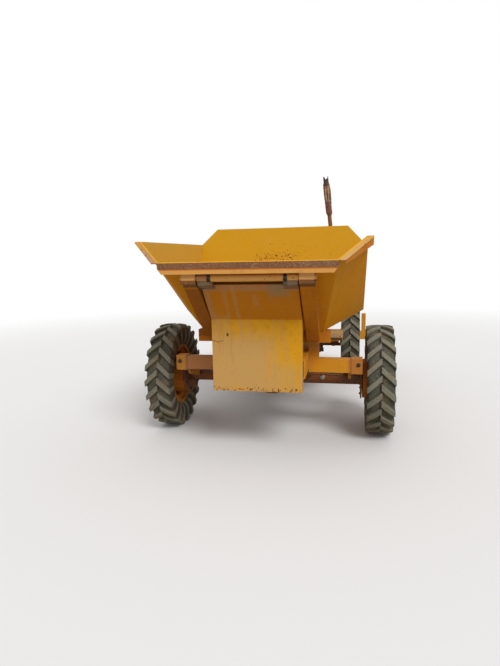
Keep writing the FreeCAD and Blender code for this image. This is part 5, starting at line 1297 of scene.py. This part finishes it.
@dataclass
class Exhaust:
    """Upright pipe with silencer, clamps, fluted shield and a ragged tip."""

    foot: Point = (0.366, 0.860, 0.885)
    bend: float = 1.400
    lean: float = -0.105
    flutes: int = 9
    torn_from: float = 1.93
    torn: float = 0.013
    bore: float = 0.82
    bore_depth: float = 0.12
    # Height, radius and depth of the flutes.
    stations: tuple[tuple[float, float, float], ...] = (
        (0.885, 0.021, 0), (1.3, 0.021, 0), (1.6, 0.019, 0), (1.612, 0.02, 0), (1.632, 0.029, 0), (1.64, 0.03, 0),
        (1.726, 0.03, 0), (1.727, 0.033, 0), (1.74, 0.033, 0), (1.742, 0.03, 0), (1.746, 0.0295, 0.0012),
        (1.756, 0.0305, 0.0036), (1.82, 0.0312, 0.0042), (1.878, 0.0305, 0.0038), (1.89, 0.03, 0.001),
        (1.893, 0.0325, 0), (1.904, 0.0325, 0), (1.909, 0.027, 0), (1.928, 0.0248, 0), (1.964, 0.024, 0),
    )  # fmt: skip

    def build(self, machine: Machine) -> None:
        """Builds the stack: a circle of changing radius, radius + depth * cos(flutes * angle), up a leaning line."""
        height, radius, flute = np.array(self.stations).T
        fine = np.unique(np.concatenate([height, np.linspace(height[0], height[-1], 90)]))
        wide, deep = (np.interp(fine, height, values)[:, None] for values in (radius, flute))
        fine = fine[:, None]
        angle = (np.arange(108) * TURN / 108)[None, :]
        dent = 0.0009 * np.sin(3 * angle + 40 * fine) * np.sin(23 * fine)
        reach = wide + deep * np.cos(self.flutes * angle) + dent * (wide > 0.026)
        ragged = (fine > self.torn_from) * self.torn * (np.sin(2 * angle + 1) + 0.5 * np.sin(5 * angle))
        level = fine + ragged
        x = self.foot[0] + self.lean * np.clip(level - self.bend, 0, None)
        outside = np.stack([x + reach * np.cos(angle), self.foot[1] + reach * np.sin(angle), level + 0 * reach], -1)
        edge = outside[-1:]
        middle = edge.mean(1, keepdims=True)
        rims = [middle + (edge - middle) * np.array([self.bore, self.bore, flat]) for flat in (1, 0.3)]
        bore = np.concatenate([rims[0], rims[1] - np.array([0, 0, self.bore_depth])])
        form = Form().sheet(np.concatenate([outside, bore]), around=True, ends=True)
        made = machine.add(form, "exhaust_pipe", "chassis", Slot.EXHAUST, Finish.EXHAUST, 40.0)
        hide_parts("exhaust_stack")


@dataclass
class Studio:
    """Pale floor, soft light and the camera."""

    eye: Point = (0.546, -4.128, 1.250)
    right: Point = (0.98042446, 0.19583102, -0.02044707)
    down: Point = (0.01063758, -0.15637809, -0.98763998)
    ahead: Point = (-0.19660802, 0.96808889, -0.15540007)
    lens: float = 26.8
    sensor: float = 36.0
    far: float = 200.0
    horizon: float = 0.42
    zenith: float = 0.40
    sun: float = 1.72
    sun_width: float = 22.0
    sun_tilt: tuple[float, float, float] = (46.0, 0.0, 34.0)
    floor: tuple[float, ...] = (0.0, 2.0, 5.0, 10.0, 20.0, 45.0)

    def build(self) -> None:
        """Sets the camera at the photograph's viewpoint, the floor, the world and one soft sun."""
        scene = bpy.context.scene
        scene.view_settings.view_transform = "Standard"
        view = bpy.data.cameras.new("photo_view")
        view.lens, view.sensor_width, view.clip_end = self.lens, self.sensor, self.far
        camera = bpy.data.objects.new("photo_view", view)
        columns = np.stack([self.right, -np.array(self.down), -np.array(self.ahead), self.eye], 1)
        camera.matrix_world = Matrix([*columns.tolist(), [0, 0, 0, 1]])
        scene.collection.objects.link(camera)
        scene.camera = camera
        self._world(scene)
        self._floor()
        lamp = bpy.data.lights.new("soft_sun", "SUN")
        lamp.energy, lamp.angle = self.sun, math.radians(self.sun_width)
        sun = bpy.data.objects.new("soft_sun", lamp)
        sun.rotation_euler = [math.radians(angle) for angle in self.sun_tilt]
        scene.collection.objects.link(sun)

    def _world(self, scene: bpy.types.Scene) -> None:
        """White where the camera or a reflection looks, softer as light and stronger from above."""
        sky = Coat("studio", bpy.data.worlds.new("studio"))
        scene.world = sky.material
        height = sky.part(sky.node("ShaderNodeTexCoord").outputs["Generated"])[2]
        level = height.most(0.0) * self.zenith + self.horizon
        light, white = (
            sky.node("ShaderNodeBackground", inputs={"Color": (1.0, 1.0, 1.0, 1.0), "Strength": strength})
            for strength in (level, 1.0)
        )
        ray = sky.node("ShaderNodeLightPath").outputs
        kinds = [Tone(sky, ray["Is %s Ray" % kind]) for kind in ("Camera", "Glossy", "Transmission")]
        seen = kinds[0].most(kinds[1]).most(kinds[2])
        blend = sky.node("ShaderNodeMixShader", inputs={0: seen, 1: light.outputs[0], 2: white.outputs[0]})
        sky.node("ShaderNodeOutputWorld", inputs={"Surface": blend.outputs[0]})

    def _floor(self) -> None:
        """A pale round floor that turns plain white far away, where only the camera sees it."""
        radius = np.array(self.floor)[:, None]
        angle = np.arange(48) * TURN / 48
        grid = np.stack([radius * np.cos(angle), radius * np.sin(angle), 0 * radius * angle], -1)
        floor = Form().sheet(grid, around=True).piece("studio_floor")
        coat = Coat("pale_floor")
        x, y, _ = coat.part(coat.place)
        far = (x * x + y * y).ramp(12.0, 70.0)
        seen = Tone(coat, coat.node("ShaderNodeLightPath").outputs["Is Camera Ray"])
        tone = coat.mix(seen, (172, 162, 146), (231, 230, 229))
        near = coat.node("ShaderNodeBsdfDiffuse", inputs={"Color": tone})
        glow = coat.node("ShaderNodeEmission", inputs={"Color": (1, 1, 1, 1), "Strength": 1.0})
        blend = coat.node("ShaderNodeMixShader", inputs={0: far * seen, 1: near.outputs[0], 2: glow.outputs[0]})
        coat.node("ShaderNodeOutputMaterial", inputs={"Surface": blend.outputs[0]})
        floor.data.materials.append(coat.material)


def main() -> None:
    """Builds the looks in order."""
    logging.basicConfig(level=logging.INFO, format="%(name)s: %(message)s")
    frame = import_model()
    Studio().build()
    machine = Machine(frame["nodes"], {finish: finish.value.material() for finish in Finish})
    for part in (Skip(), FrontEnd(), Running(), Bodywork(), Steering(), Exhaust()):
        part.build(machine)
    for tag, side in (("left", 1), ("right", -1)):
        Wheel("front_" + tag, (side * 0.750, -0.640, 0.3775), side).build(machine)
        Wheel("rear_" + tag, (side * 0.555, 0.980, 0.3775), side).build(machine)
    Pad("seat_pad", "seat_cushion", (0.010, 0.010, 0.008)).build(machine)
    Pad("back_pad", "seat_back", (0.010, 0.008, 0.010)).build(machine)
    log.info("%d new pieces", machine.made)


if __name__ == "__main__":
    main()
